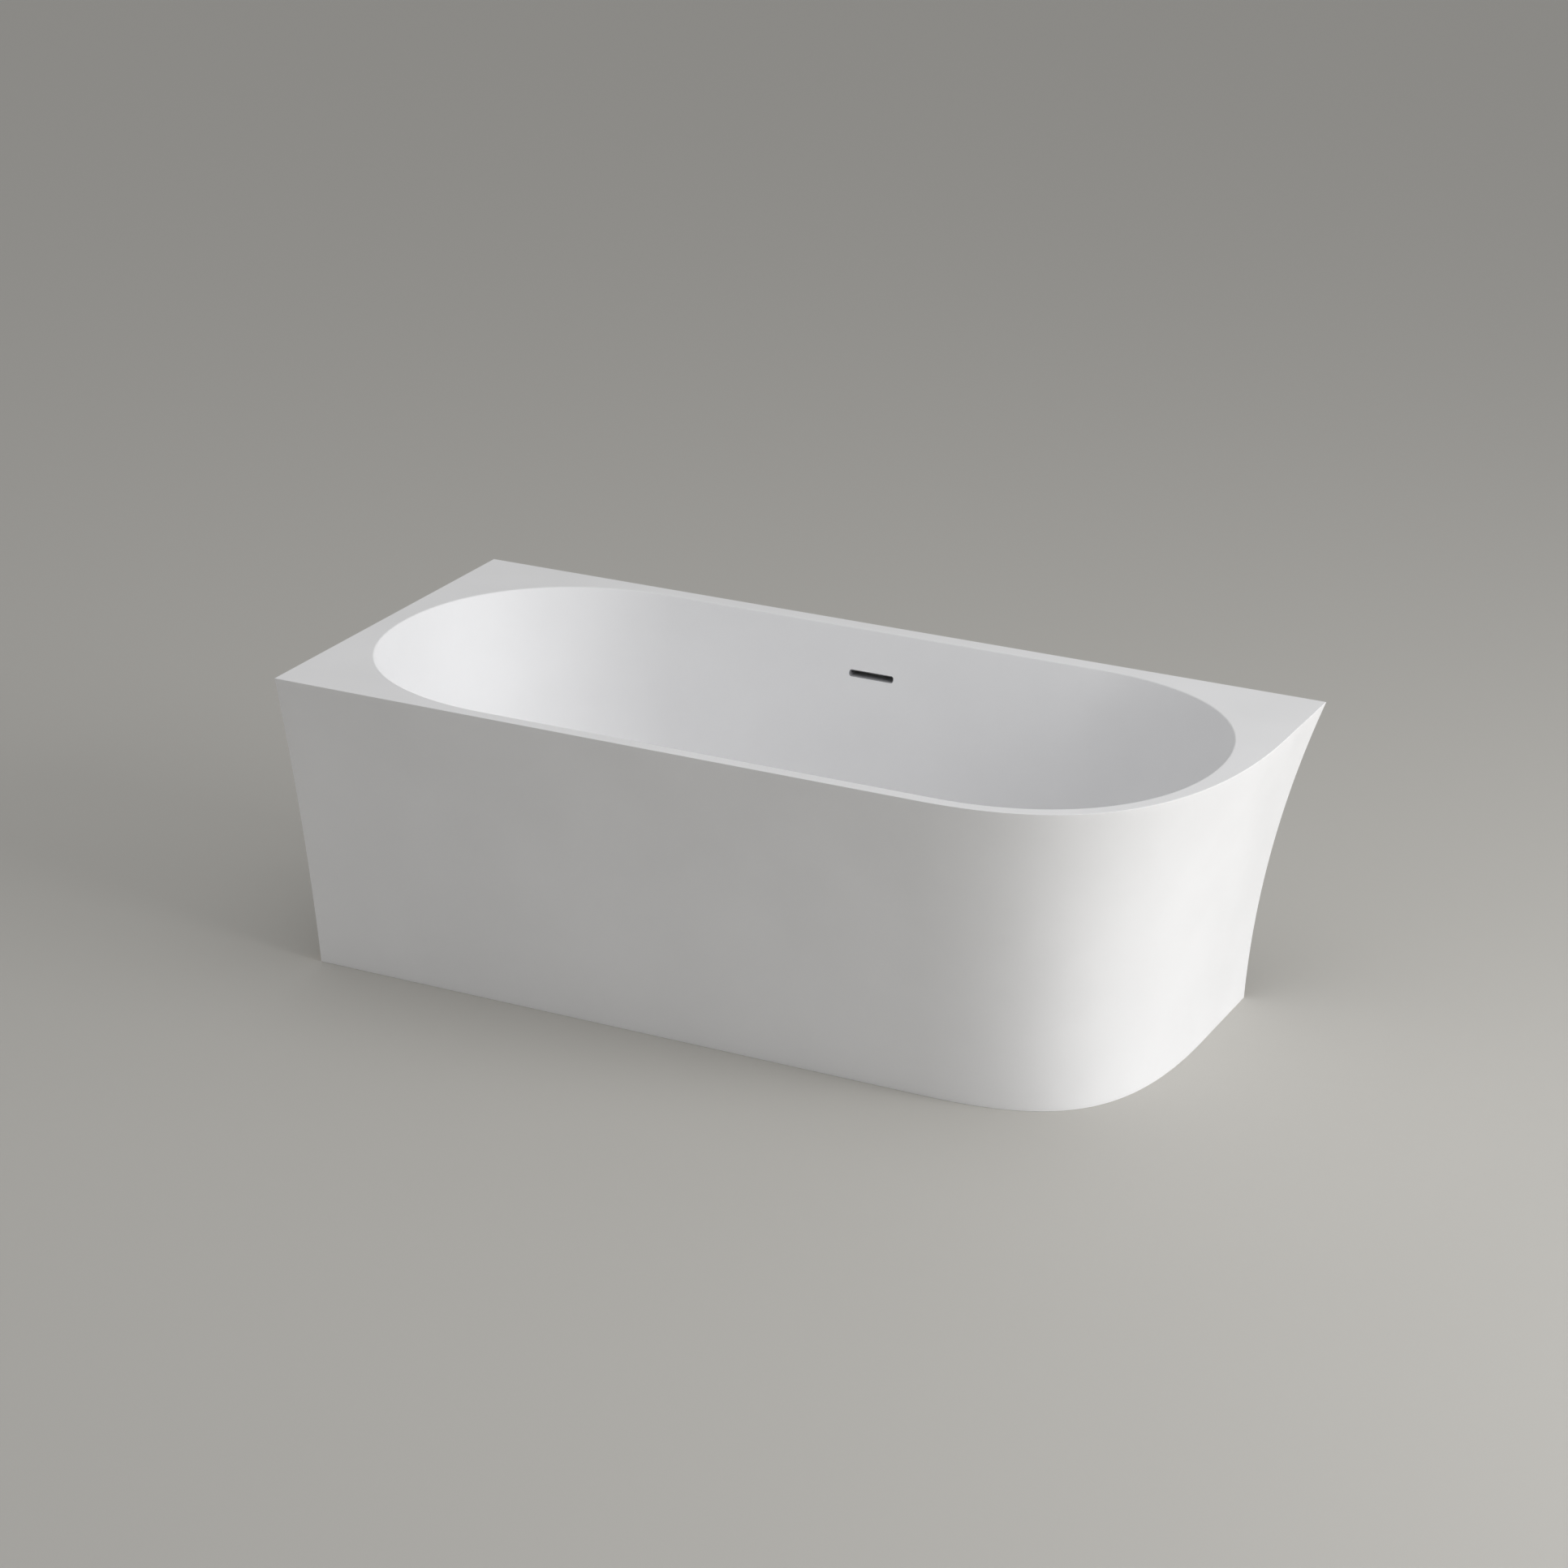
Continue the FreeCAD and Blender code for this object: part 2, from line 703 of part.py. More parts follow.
def end_cap(mouth, outwards):
    # A plate over the rail's mouth and a hollow plug inside it.
    half = rail_size / 2
    side = abs(outwards.x) * to_back + abs(outwards.y) * to_right

    def slab(half_size, start, end):
        low = ahead(mouth, outwards, start).sub(side * half_size).sub(up * half_size)
        high = ahead(mouth, outwards, end).add(side * half_size).add(up * half_size)
        return block(min(low.x, high.x), max(low.x, high.x), min(low.y, high.y), max(low.y, high.y),
                     low.z, high.z)

    plug = slab(half - rail_wall, -cap_plug, 0.0).cut(slab(half - rail_wall - cap_wall, -cap_plug, 0.0))
    return joined([slab(half, 0.0, cap_thickness), plug])


def rail_end_caps():
    left, right = board_ends()
    long_z = long_rail_bottom + rail_size / 2
    cross_z = cross_rail_bottom + rail_size / 2
    caps = []
    for side in (-1, 1):
        caps.append(end_cap(point(left, side * long_rail_out, long_z), to_right * -1))
        caps.append(end_cap(point(right, side * long_rail_out, long_z), to_right))
    for x in cross_rail_places().values():
        caps.append(end_cap(point(x, -cross_rail_out, cross_z), to_front))
        caps.append(end_cap(point(x, cross_rail_out, cross_z), to_back))
    return caps


# Brackets between the cross rails and the apron's batten

def batten_face_y():
    return -width / 2 + flare_front + apron_wall + batten_thickness


def apron_bracket(x):
    face_y = batten_face_y()
    top = cross_rail_bottom
    end_y = -cross_rail_out + bracket_lap
    corners = [(face_y, batten_lift), (face_y, top), (end_y, top), (end_y, top - bracket_plate),
               (face_y + bracket_plate, top - bracket_plate), (face_y + bracket_plate, batten_lift)]
    face = flat_face([point(x - bracket_width / 2, y, z) for y, z in corners])
    return face.extrude(to_right * bracket_width)


# Feet

def weld_nut(x, y):
    nut = hexagon(weld_nut_flats, x, y, cross_rail_bottom - weld_nut_height, cross_rail_bottom)
    return nut.cut(rod(stem_radius + stem_clearance, point(x, y, 0), up, height))


def lock_nut(x, y):
    top = cross_rail_bottom - weld_nut_height
    nut = hexagon(lock_nut_flats, x, y, top - lock_nut_height, top)
    return nut.cut(rod(stem_radius + stem_clearance, point(x, y, 0), up, height))


def foot_stem(x, y):
    seat = point(x, y, foot_pad_floor)
    top = long_rail_bottom - rail_wall - stem_top_gap
    hex_low = foot_pad_height + foot_hex_gap
    return joined([rod(stem_radius, seat, up, top - foot_pad_floor),
                   hexagon(foot_hex_flats, x, y, hex_low, hex_low + foot_hex_height)])


def foot_pad(x, y):
    # A disc with a hub, whose socket takes the stem's end.
    base = point(x, y, 0)
    pad = joined([rod(foot_pad_radius, base, up, foot_pad_edge),
                  rod(foot_pad_hub_radius, base, up, foot_pad_height)])
    return pad.cut(rod(stem_radius + stem_clearance, point(x, y, foot_pad_floor), up, foot_pad_height))


# Wall brackets

def wall_bracket_frames():
    # For each bracket: its middle on the wall, the direction along the wall and the one into the room.
    back = [(point(x, wall_y, 0), to_right, to_front) for x in (wall_bracket_left, wall_bracket_right)]
    return back + [(point(wall_x, wall_bracket_middle, 0), to_back, to_right)]


def wall_bracket(middle, along, inwards):
    # A plate on the wall below the lip, a step under the lip and a tab up its inner face.
    plate = wall_bracket_plate
    low = lip_bottom - wall_bracket_drop
    high = lip_bottom + wall_bracket_rise
    corners = [(0, low), (0, lip_bottom), (lip_thickness, lip_bottom), (lip_thickness, high),
               (lip_thickness + plate, high), (lip_thickness + plate, lip_bottom - plate),
               (plate, lip_bottom - plate), (plate, low)]
    start = ahead(middle, along, -wall_bracket_length / 2)
    face = flat_face([ahead(ahead(start, inwards, w), up, z) for w, z in corners])
    bracket = face.extrude(FreeCAD.Vector(along).multiply(wall_bracket_length))
    for side in (-1, 1):
        hole = ahead(ahead(middle, along, side * wall_hole_spacing / 2), up, lip_bottom - wall_hole_drop)
        bracket = bracket.cut(rod(wall_hole_radius, hole, inwards, plate))
    return bracket


# All pieces

def make_nodes():
    inner_space = under_deck(apron_wall)
    deck = deck_plate()
    rib_left, rib_right = edge_ribs(inner_space)
    rails = cross_rail_places()
    feet = foot_places()
    overflow_mouth = point(slot_x, pipe_y, spigot_mouth_z)
    inlet_mouth = point(waste_x, inlet_mouth_y, inlet_z)
    trap_neck = point(waste_x, waste_y, neck_top)
    trap_mouth = point(waste_x, trap_mouth_y, trap_outlet_z)
    nodes = {
        "bath_shell": [bath_shell(inner_space, deck)],
        "outer_apron": [outer_apron(inner_space, deck)],
        "plinth_batten": [plinth_batten(inner_space)],
        "edge_rib_left": [rib_left],
        "edge_rib_right": [rib_right],
        "base_board": [base_board()],
        "long_rail_front": [long_rail(-long_rail_out)],
        "long_rail_back": [long_rail(long_rail_out)],
        "cross_rail_left": [cross_rail(rails["left"])],
        "cross_rail_right": [cross_rail(rails["right"])],
        "rail_end_caps": rail_end_caps(),
        "apron_brackets": [apron_bracket(x) for x in rails.values()],
        "foot_weld_nuts": [weld_nut(x, y) for x, y in feet.values()],
        "foot_lock_nuts": [lock_nut(x, y) for x, y in feet.values()],
        "waste_flange": [waste_flange()],
        "waste_top_gasket": [gasket_ring(flange_radius, flange_seat, top_gasket_thickness)],
        "waste_bottom_gasket": [gasket_ring(gasket_radius, body_top, bottom_gasket_thickness)],
        "waste_body": [waste_body()],
        "click_cartridge": [click_cartridge()],
        "plug_cap": [plug_cap()],
        "plug_seal": [plug_seal()],
        "plug_plunger": [plug_plunger()],
        "overflow_lining": [slot_lining_sleeve()],
        "overflow_gasket": [overflow_seal()],
        "overflow_box": [overflow_box()],
        "overflow_pipe": [overflow_pipe()],
        "overflow_nuts": [pipe_nut(overflow_mouth, down, spigot_radius, pipe_radius),
                          pipe_nut(inlet_mouth, to_back, spigot_radius, pipe_radius)],
        "trap_body": [trap_body()],
        "trap_union_nut": [pipe_nut(trap_neck, up, neck_radius, waste_outlet_radius)],
        "trap_outlet_nut": [pipe_nut(trap_mouth, to_back, trap_spigot_radius, outlet_radius)],
        "outlet_pipe": [outlet_pipe()],
        "wall_brackets": [wall_bracket(*frame) for frame in wall_bracket_frames()],
    }
    for place, (x, y) in feet.items():
        nodes["foot_stem_" + place] = [foot_stem(x, y)]
        nodes["foot_pad_" + place] = [foot_pad(x, y)]
    return nodes


os.makedirs("parts", exist_ok=True)
for name, solids in make_nodes().items():
    shape = solids[0] if len(solids) == 1 else Part.makeCompound(solids)
    count = len(shape.Solids)
    print(name, "solids:", count, "valid:", shape.isValid(), "volume:", round(shape.Volume))
    shape.exportStep("parts/" + name + ".step")
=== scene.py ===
import bpy, bmesh, math
from mathutils import Matrix, Vector


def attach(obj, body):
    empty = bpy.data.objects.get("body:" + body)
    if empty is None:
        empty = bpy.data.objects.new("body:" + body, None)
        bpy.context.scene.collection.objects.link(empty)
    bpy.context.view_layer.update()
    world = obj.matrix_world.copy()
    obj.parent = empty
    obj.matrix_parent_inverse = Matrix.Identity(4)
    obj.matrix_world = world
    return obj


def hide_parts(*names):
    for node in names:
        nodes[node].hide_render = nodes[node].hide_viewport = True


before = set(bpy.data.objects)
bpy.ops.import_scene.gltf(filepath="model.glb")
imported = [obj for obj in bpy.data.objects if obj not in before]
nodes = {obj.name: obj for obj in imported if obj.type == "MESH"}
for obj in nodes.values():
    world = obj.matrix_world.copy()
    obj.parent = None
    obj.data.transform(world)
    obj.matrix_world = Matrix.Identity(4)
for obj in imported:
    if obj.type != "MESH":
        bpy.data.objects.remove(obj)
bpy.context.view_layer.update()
scene = bpy.context.scene
bpy.context.view_layer.update()
print("frame loaded with", len(nodes), "nodes")

# A corner bathtub in cast mineral: deck and basin in one, a flared apron in front and at the right,
# and under them the timber, steel and plumbing. Sizes are in millimetres until they reach Blender.
mm = 0.001


def hexToLinear(text):
    # an sRGB hex colour as the linear one that the shaders take
    parts = [int(text[i:i + 2], 16) / 255 for i in (1, 3, 5)]
    return [c / 12.92 if c <= 0.04045 else ((c + 0.055) / 1.055) ** 2.4 for c in parts] + [1.0]


def addNode(tree, kind, settings=None, links=None):
    # one node with its settings, by property or socket, and its links as socket: (node, output)
    node = tree.nodes.new("ShaderNode" + kind)
    for key, value in (settings or {}).items():
        if isinstance(key, str) and key in node.bl_rna.properties:
            setattr(node, key, value)
        elif isinstance(key, str) and key.startswith("stop"):
            stops = node.color_ramp.elements
            stop = stops[int(key[4:])] if int(key[4:]) < len(stops) else stops.new(value[0])
            stop.position, stop.color = value[0], hexToLinear(value[1])
        else:
            node.inputs[key].default_value = value
    for socket, (source, output) in (links or {}).items():
        tree.links.new(source.outputs[output], node.inputs[socket])
    return node


def newMaterial(name, finish, *values):
    # a material from a function that gets the tree, the object's coordinates and the values, and returns the
    # shader's settings and the sources of its colour, roughness and normal
    material = bpy.data.materials.new(name)
    material.use_nodes = True
    tree = material.node_tree
    tree.nodes.clear()
    settings, *sources = finish(tree, (addNode(tree, "TexCoord"), "Object"), *values)
    shader = addNode(tree, "BsdfPrincipled", settings, dict(zip(("Base Color", "Roughness", "Normal"), sources)))
    addNode(tree, "OutputMaterial", {}, {"Surface": (shader, "BSDF")})
    return material


# Finishes. Each starts from what the real surface is and how it was made.

def castMineralHoned(tree, place):
    # Cast mineral, a resin filled with stone powder, honed to a silky matt: soft broad highlights, a very
    # fine mottle of the filler and no grain. The filler's 0.1 mm grit is drawn at 1.5 mm to show.
    drift = addNode(tree, "TexNoise", {"Scale": 1 / (180 * mm), "Detail": 3.0, "Roughness": 0.5}, {"Vector": place})
    grit = addNode(tree, "TexNoise", {"Scale": 1 / (1.5 * mm), "Detail": 2.0}, {"Vector": place})
    both = addNode(tree, "Math", {"operation": "MULTIPLY_ADD", 1: 0.35}, {0: (grit, "Fac"), 2: (drift, "Fac")})
    colour = addNode(tree, "ValToRGB", {"stop0": (0.35, "#ececed"), "stop1": (0.95, "#f1f1f2")}, {"Fac": (both, 0)})
    dull = addNode(tree, "MapRange", {"From Min": 0.3, "From Max": 0.7, "To Min": 0.50, "To Max": 0.60},
                   {"Value": (drift, "Fac")})
    bump = addNode(tree, "Bump", {"Strength": 0.05, "Distance": 0.05 * mm}, {"Height": (grit, "Fac")})
    return {"IOR": 1.5, "Specular IOR Level": 0.4}, (colour, "Color"), (dull, "Result"), (bump, "Normal")


def castMineralRaw(tree, place):
    # The same casting on its hidden side, as it leaves the mould: greyer, uneven, with slow ripples of the
    # poured resin, sanding haze and pin holes of 1 to 2 mm, with painted shade in the holes.
    ripple = addNode(tree, "TexNoise", {"Scale": 1 / (110 * mm), "Detail": 4.0, "Distortion": 0.4}, {"Vector": place})
    haze = addNode(tree, "TexNoise", {"Scale": 1 / (5 * mm), "Detail": 5.0, "Roughness": 0.7}, {"Vector": place})
    holes = addNode(tree, "TexVoronoi", {"Scale": 1 / (26 * mm)}, {"Vector": place})
    pin = addNode(tree, "MapRange", {"From Min": 0.03, "From Max": 0.07}, {"Value": (holes, "Distance")})
    colour = addNode(tree, "ValToRGB", {"stop0": (0.3, "#d2d1cc"), "stop1": (0.7, "#dfded9")},
                     {"Fac": (ripple, "Fac")})
    # the pin holes are painted a darker grey: this is painted shade in the pits, over the bump that sinks them
    pitShadedColour = addNode(tree, "Mix", {"data_type": "RGBA", 6: hexToLinear("#a19e98")},
                     {0: (pin, "Result"), 7: (colour, "Color")})
    dull = addNode(tree, "MapRange", {"To Min": 0.55, "To Max": 0.85}, {"Value": (haze, "Fac")})
    rough = addNode(tree, "Bump", {"Strength": 0.35, "Distance": 0.3 * mm}, {"Height": (haze, "Fac")})
    waves = addNode(tree, "Bump", {"Strength": 0.35, "Distance": 1.2 * mm},
                    {"Height": (ripple, "Fac"), "Normal": (rough, "Normal")})
    pits = addNode(tree, "Bump", {"Strength": 0.8, "Distance": 0.8 * mm},
                   {"Height": (pin, "Result"), "Normal": (waves, "Normal")})
    return {"IOR": 1.5}, (pitShadedColour, 2), (dull, "Result"), (pits, "Normal")


def birchPlywood(tree, place, grainReach, plyThickness):
    # Birch plywood, sanded and unfinished: pale wood with long soft grain and fine darker pores. Where a
    # ply thickness is given, the sawn edges show the layers. grainReach is the figure's size in X, Y and Z.
    # Real pores are 0.1 mm wide and are drawn eight times as wide.
    along = addNode(tree, "Mapping", {"Scale": [1 / (reach * mm) for reach in grainReach]}, {"Vector": place})
    figure = addNode(tree, "TexNoise", {"Scale": 1.0, "Detail": 5.0, "Roughness": 0.55, "Distortion": 1.2},
                     {"Vector": (along, "Vector")})
    pores = addNode(tree, "TexNoise", {"Scale": 11.0, "Detail": 3.0, "Roughness": 0.6}, {"Vector": (along, "Vector")})
    faceColour = addNode(tree, "ValToRGB",
                         {"stop0": (0.28, "#b58f60"), "stop1": (0.72, "#dcc39b"), "stop2": (0.5, "#cfb185")},
                         {"Fac": (figure, "Fac")})
    poreShade = addNode(tree, "MapRange", {"From Min": 0.3, "From Max": 0.5, "To Min": 0.72, "To Max": 1.0},
                        {"Value": (pores, "Fac")})
    sanded = addNode(tree, "Mix", {"data_type": "RGBA", "blend_type": "MULTIPLY", 0: 1.0},
                     {6: (faceColour, "Color"), 7: (poreShade, "Result")})
    surface = (sanded, 2)
    if plyThickness:
        parts = addNode(tree, "SeparateXYZ", {}, {"Vector": place})
        layer = addNode(tree, "Math", {"operation": "PINGPONG", 1: plyThickness * mm}, {0: (parts, "Z")})
        side = addNode(tree, "MapRange", {"From Min": 0.4 * plyThickness * mm, "From Max": 0.6 * plyThickness * mm},
                       {"Value": (layer, 0)})
        plies = addNode(tree, "ValToRGB", {"stop0": (0.0, "#8f6a42"), "stop1": (1.0, "#d9bd91")},
                        {"Fac": (side, "Result")})
        geometry = addNode(tree, "NewGeometry")
        facing = addNode(tree, "SeparateXYZ", {}, {"Vector": (geometry, "Normal")})
        upright = addNode(tree, "Math", {"operation": "ABSOLUTE"}, {0: (facing, "Z")})
        onFace = addNode(tree, "Math", {"operation": "GREATER_THAN", 1: 0.5}, {0: (upright, 0)})
        surface = (addNode(tree, "Mix", {"data_type": "RGBA"},
                           {0: (onFace, 0), 6: (plies, "Color"), 7: (sanded, 2)}), 2)
    dull = addNode(tree, "MapRange", {"To Min": 0.52, "To Max": 0.72}, {"Value": (pores, "Fac")})
    bump = addNode(tree, "Bump", {"Strength": 0.25, "Distance": 0.25 * mm}, {"Height": (pores, "Fac")})
    return {"IOR": 1.47}, surface, (dull, "Result"), (bump, "Normal")


def steelZincPlated(tree, place):
    # Mild steel, zinc plated and passivated: a soft grey metal with a faint blue cast in patches, a dull
    # bloom here and there and eased edges. The 0.2 mm crystals are drawn at 1 mm.
    bloom = addNode(tree, "TexNoise", {"Scale": 1 / (32 * mm), "Detail": 6.0, "Roughness": 0.62}, {"Vector": place})
    crystals = addNode(tree, "TexNoise", {"Scale": 1 / (1.0 * mm), "Detail": 2.0}, {"Vector": place})
    colour = addNode(tree, "ValToRGB",
                     {"stop0": (0.3, "#9da1a8"), "stop1": (0.72, "#bfc1c1"), "stop2": (0.52, "#b0b4b9")},
                     {"Fac": (bloom, "Fac")})
    both = addNode(tree, "Math", {"operation": "MULTIPLY_ADD", 1: 0.3}, {0: (crystals, "Fac"), 2: (bloom, "Fac")})
    dull = addNode(tree, "MapRange", {"From Min": 0.4, "From Max": 0.95, "To Min": 0.26, "To Max": 0.48},
                   {"Value": (both, 0)})
    eased = addNode(tree, "Bevel", {"samples": 4, "Radius": 0.8 * mm})
    bump = addNode(tree, "Bump", {"Strength": 0.12, "Distance": 0.1 * mm},
                   {"Height": (crystals, "Fac"), "Normal": (eased, "Normal")})
    return {"Metallic": 1.0}, (colour, "Color"), (dull, "Result"), (bump, "Normal")


def brassChromed(tree, place):
    # Brass, polished and chrome plated: a clear cool mirror, with faint wiping marks that only show in the
    # reflections.
    wiped = addNode(tree, "TexNoise", {"Scale": 1 / (14 * mm), "Detail": 5.0, "Roughness": 0.65, "Distortion": 1.5},
                    {"Vector": place})
    colour = addNode(tree, "ValToRGB", {"stop0": (0.3, "#c9ccd1"), "stop1": (0.7, "#d9dbde")},
                     {"Fac": (wiped, "Fac")})
    gloss = addNode(tree, "MapRange", {"From Min": 0.35, "From Max": 0.75, "To Min": 0.05, "To Max": 0.14},
                    {"Value": (wiped, "Fac")})
    bump = addNode(tree, "Bump", {"Strength": 0.03, "Distance": 0.1 * mm}, {"Height": (wiped, "Fac")})
    return {"Metallic": 1.0}, (colour, "Color"), (gloss, "Result"), (bump, "Normal")


def brassTurned(tree, place):
    # Brass, turned on a lathe and left bare: warm metal with fine rings round the axis and a little
    # tarnish. The 0.1 mm tool marks are drawn 0.4 mm apart.
    marks = addNode(tree, "TexWave", {"bands_direction": "Z", "Scale": 1 / (2.5 * mm), "Distortion": 0.4},
                    {"Vector": place})
    tarnish = addNode(tree, "TexNoise", {"Scale": 1 / (6 * mm), "Detail": 4.0}, {"Vector": place})
    colour = addNode(tree, "ValToRGB", {"stop0": (0.3, "#9a7a42"), "stop1": (0.7, "#c9a35c")},
                     {"Fac": (tarnish, "Fac")})
    gloss = addNode(tree, "MapRange", {"To Min": 0.2, "To Max": 0.36}, {"Value": (tarnish, "Fac")})
    bump = addNode(tree, "Bump", {"Strength": 0.3, "Distance": 0.05 * mm}, {"Height": (marks, "Fac")})
    return {"Metallic": 1.0}, (colour, "Color"), (gloss, "Result"), (bump, "Normal")


def polypropyleneMoulded(tree, place):
    # Polypropylene, injection moulded: milky white with a satin skin, faint flow marks and soft edges.
    # The mould's 0.15 mm spark texture is drawn at 0.9 mm.
    flow = addNode(tree, "TexNoise", {"Scale": 1 / (40 * mm), "Detail": 3.0, "Distortion": 0.6}, {"Vector": place})
    spark = addNode(tree, "TexNoise", {"Scale": 1 / (0.9 * mm), "Detail": 2.0}, {"Vector": place})
    colour = addNode(tree, "ValToRGB", {"stop0": (0.3, "#dfdfdb"), "stop1": (0.7, "#e6e6e3")}, {"Fac": (flow, "Fac")})
    dull = addNode(tree, "MapRange", {"To Min": 0.38, "To Max": 0.47}, {"Value": (flow, "Fac")})
    eased = addNode(tree, "Bevel", {"samples": 4, "Radius": 0.7 * mm})
    bump = addNode(tree, "Bump", {"Strength": 0.15, "Distance": 0.08 * mm},
                   {"Height": (spark, "Fac"), "Normal": (eased, "Normal")})
    return {"IOR": 1.49}, (colour, "Color"), (dull, "Result"), (bump, "Normal")


def nylonMoulded(tree, place, darkHex, paleHex, dullest):
    # Nylon, injection moulded and through-coloured, near black or grey: a fine leathery mould grain and
    # a dull sheen. The 0.2 mm grain is drawn at 0.8 mm.
    grain = addNode(tree, "TexNoise", {"Scale": 1 / (0.8 * mm), "Detail": 3.0}, {"Vector": place})
    wear = addNode(tree, "TexNoise", {"Scale": 1 / (22 * mm), "Detail": 5.0}, {"Vector": place})
    colour = addNode(tree, "ValToRGB", {"stop0": (0.35, darkHex), "stop1": (0.7, paleHex)}, {"Fac": (wear, "Fac")})
    dull = addNode(tree, "MapRange", {"To Min": dullest - 0.15, "To Max": dullest}, {"Value": (wear, "Fac")})
    bump = addNode(tree, "Bump", {"Strength": 0.3, "Distance": 0.1 * mm}, {"Height": (grain, "Fac")})
    return {"IOR": 1.53}, (colour, "Color"), (dull, "Result"), (bump, "Normal")


def rubberMoulded(tree, place):
    # Nitrile rubber, moulded: dull black with a dusty grey bloom and no clear highlight.
    bloom = addNode(tree, "TexNoise", {"Scale": 1 / (9 * mm), "Detail": 6.0, "Roughness": 0.7}, {"Vector": place})
    colour = addNode(tree, "ValToRGB", {"stop0": (0.35, "#141414"), "stop1": (0.75, "#2c2b2a")},
                     {"Fac": (bloom, "Fac")})
    dull = addNode(tree, "MapRange", {"To Min": 0.68, "To Max": 0.9}, {"Value": (bloom, "Fac")})
    bump = addNode(tree, "Bump", {"Strength": 0.3, "Distance": 0.08 * mm}, {"Height": (bloom, "Fac")})
    return {"IOR": 1.52}, (colour, "Color"), (dull, "Result"), (bump, "Normal")


mineral = newMaterial("cast_mineral_honed", castMineralHoned)
rawMineral = newMaterial("cast_mineral_as_cast", castMineralRaw)
boardPlywood = newMaterial("birch_plywood_sanded", birchPlywood, (320, 9, 320), 1.36)
battenPlywood = newMaterial("birch_plywood_bent", birchPlywood, (260, 260, 7), 0)
zincSteel = newMaterial("steel_zinc_plated", steelZincPlated)
chrome = newMaterial("brass_chromed_polished", brassChromed)
brass = newMaterial("brass_turned", brassTurned)
polypropylene = newMaterial("polypropylene_moulded_white", polypropyleneMoulded)
blackNylon = newMaterial("nylon_moulded_black", nylonMoulded, "#161617", "#222223", 0.62)
greyNylon = newMaterial("nylon_moulded_grey", nylonMoulded, "#8a8b8e", "#959699", 0.5)
rubber = newMaterial("nitrile_rubber_moulded", rubberMoulded)
print("finishes ready")


# Mesh making

def finishPiece(name, bm, material, hidden=None, smoothAngle=30.0):
    # bmesh in millimetres to a finished object in metres; faces marked 1 take the hidden side's material
    bmesh.ops.recalc_face_normals(bm, faces=bm.faces)
    bmesh.ops.scale(bm, vec=(mm, mm, mm), verts=bm.verts)
    mesh = bpy.data.meshes.new(name)
    bm.to_mesh(mesh)
    bm.free()
    mesh.shade_smooth()
    mesh.set_sharp_from_angle(angle=math.radians(smoothAngle))
    mesh.materials.append(material)
    if hidden:
        mesh.materials.append(hidden)
    obj = bpy.data.objects.new(name, mesh)
    scene.collection.objects.link(obj)
    return obj


def settle(piece, body, slot, *replaced):
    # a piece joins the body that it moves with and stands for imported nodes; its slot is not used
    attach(piece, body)
    if replaced:
        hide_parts(*replaced)


def markHidden(bm, first):
    bm.faces.ensure_lookup_table()
    for face in bm.faces[first:]:
        face.material_index = 1


def ringVerts(bm, points):
    return [bm.verts.new(p) for p in points]


def bridge(bm, low, high, closed=True, skip=()):
    # quads between two rows of the same count
    count = len(low) if closed else len(low) - 1
    for i in range(count):
        if i not in skip:
            j = (i + 1) % len(low)
            bm.faces.new((low[i], low[j], high[j], high[i]))


def fillFlat(bm, *loops):
    # a flat face bounded by one outer loop, with the others as holes in it
    edges = []
    for loop in loops:
        for i, vert in enumerate(loop):
            other = loop[(i + 1) % len(loop)]
            edges.append(bm.edges.get((vert, other)) or bm.edges.new((vert, other)))
    bmesh.ops.triangle_fill(bm, use_beauty=False, use_dissolve=False, edges=edges)


def easedRows(before, corner, after, steps=5):
    # rows that round a corner between the row before it and the row after it
    rows = []
    for i in range(steps + 1):
        t = i / steps
        rows.append([a * (1 - t) ** 2 + b * 2 * t * (1 - t) + c * t * t for a, b, c in zip(before, corner, after)])
    return rows


def easedProfile(points):
    # (radius, rise, ease) points to (radius, rise) rows, with each corner rounded by its ease
    rows = []
    for i, (radius, rise, ease) in enumerate(points):
        here = Vector((radius, rise))
        if ease == 0:
            rows.append((radius, rise))
            continue
        before = here + (Vector(points[i - 1][:2]) - here).normalized() * ease
        after = here + (Vector(points[(i + 1) % len(points)][:2]) - here).normalized() * ease
        for k in range(5):
            t = k / 4
            spot = before * (1 - t) ** 2 + here * 2 * t * (1 - t) + after * t * t
            rows.append((spot.x, spot.y))
    return rows


def spin(bm, rows, place, axis, steps=64, ring=False):
    # rows of (radius, rise), or functions of the turn that give them, round an axis through the place;
    # a ring closes on itself, anything else gets a flat face at both ends
    turned = Vector(axis).to_track_quat("Z", "Y").to_matrix()
    made = []
    for row in rows:
        points = []
        for i in range(steps):
            turn = 2 * math.pi * i / steps
            radius, rise = row(turn) if callable(row) else row
            points.append(Vector(place) + turned @ Vector((radius * math.cos(turn), radius * math.sin(turn), rise)))
        made.append(ringVerts(bm, points))
    for low, high in zip(made, made[1:]):
        bridge(bm, low, high)
    if ring:
        bridge(bm, made[-1], made[0])
    else:
        bm.faces.new(made[0])
        bm.faces.new(made[-1])


def hexRadius(turn, flats):
    return flats / 2 / math.cos(turn % (math.pi / 3) - math.pi / 6)


def hexNut(bm, flats, place, axis, rise, bore=0.0):
    # a hexagon with the turned chamfer that rounds its corners at both faces
    face = flats / 2 - 0.2
    slope = math.tan(math.radians(30))
    edge = lambda turn: (hexRadius(turn, flats) - face) * slope
    rows = [(face, 0.0), lambda t: (hexRadius(t, flats), edge(t)),
            lambda t: (hexRadius(t, flats), rise - edge(t)), (face, rise)]
    if bore:
        rows += [(bore + 0.7, rise), (bore, rise - 0.7), (bore, 0.7), (bore + 0.7, 0.0)]
    spin(bm, rows, place, axis, steps=72, ring=bool(bore))


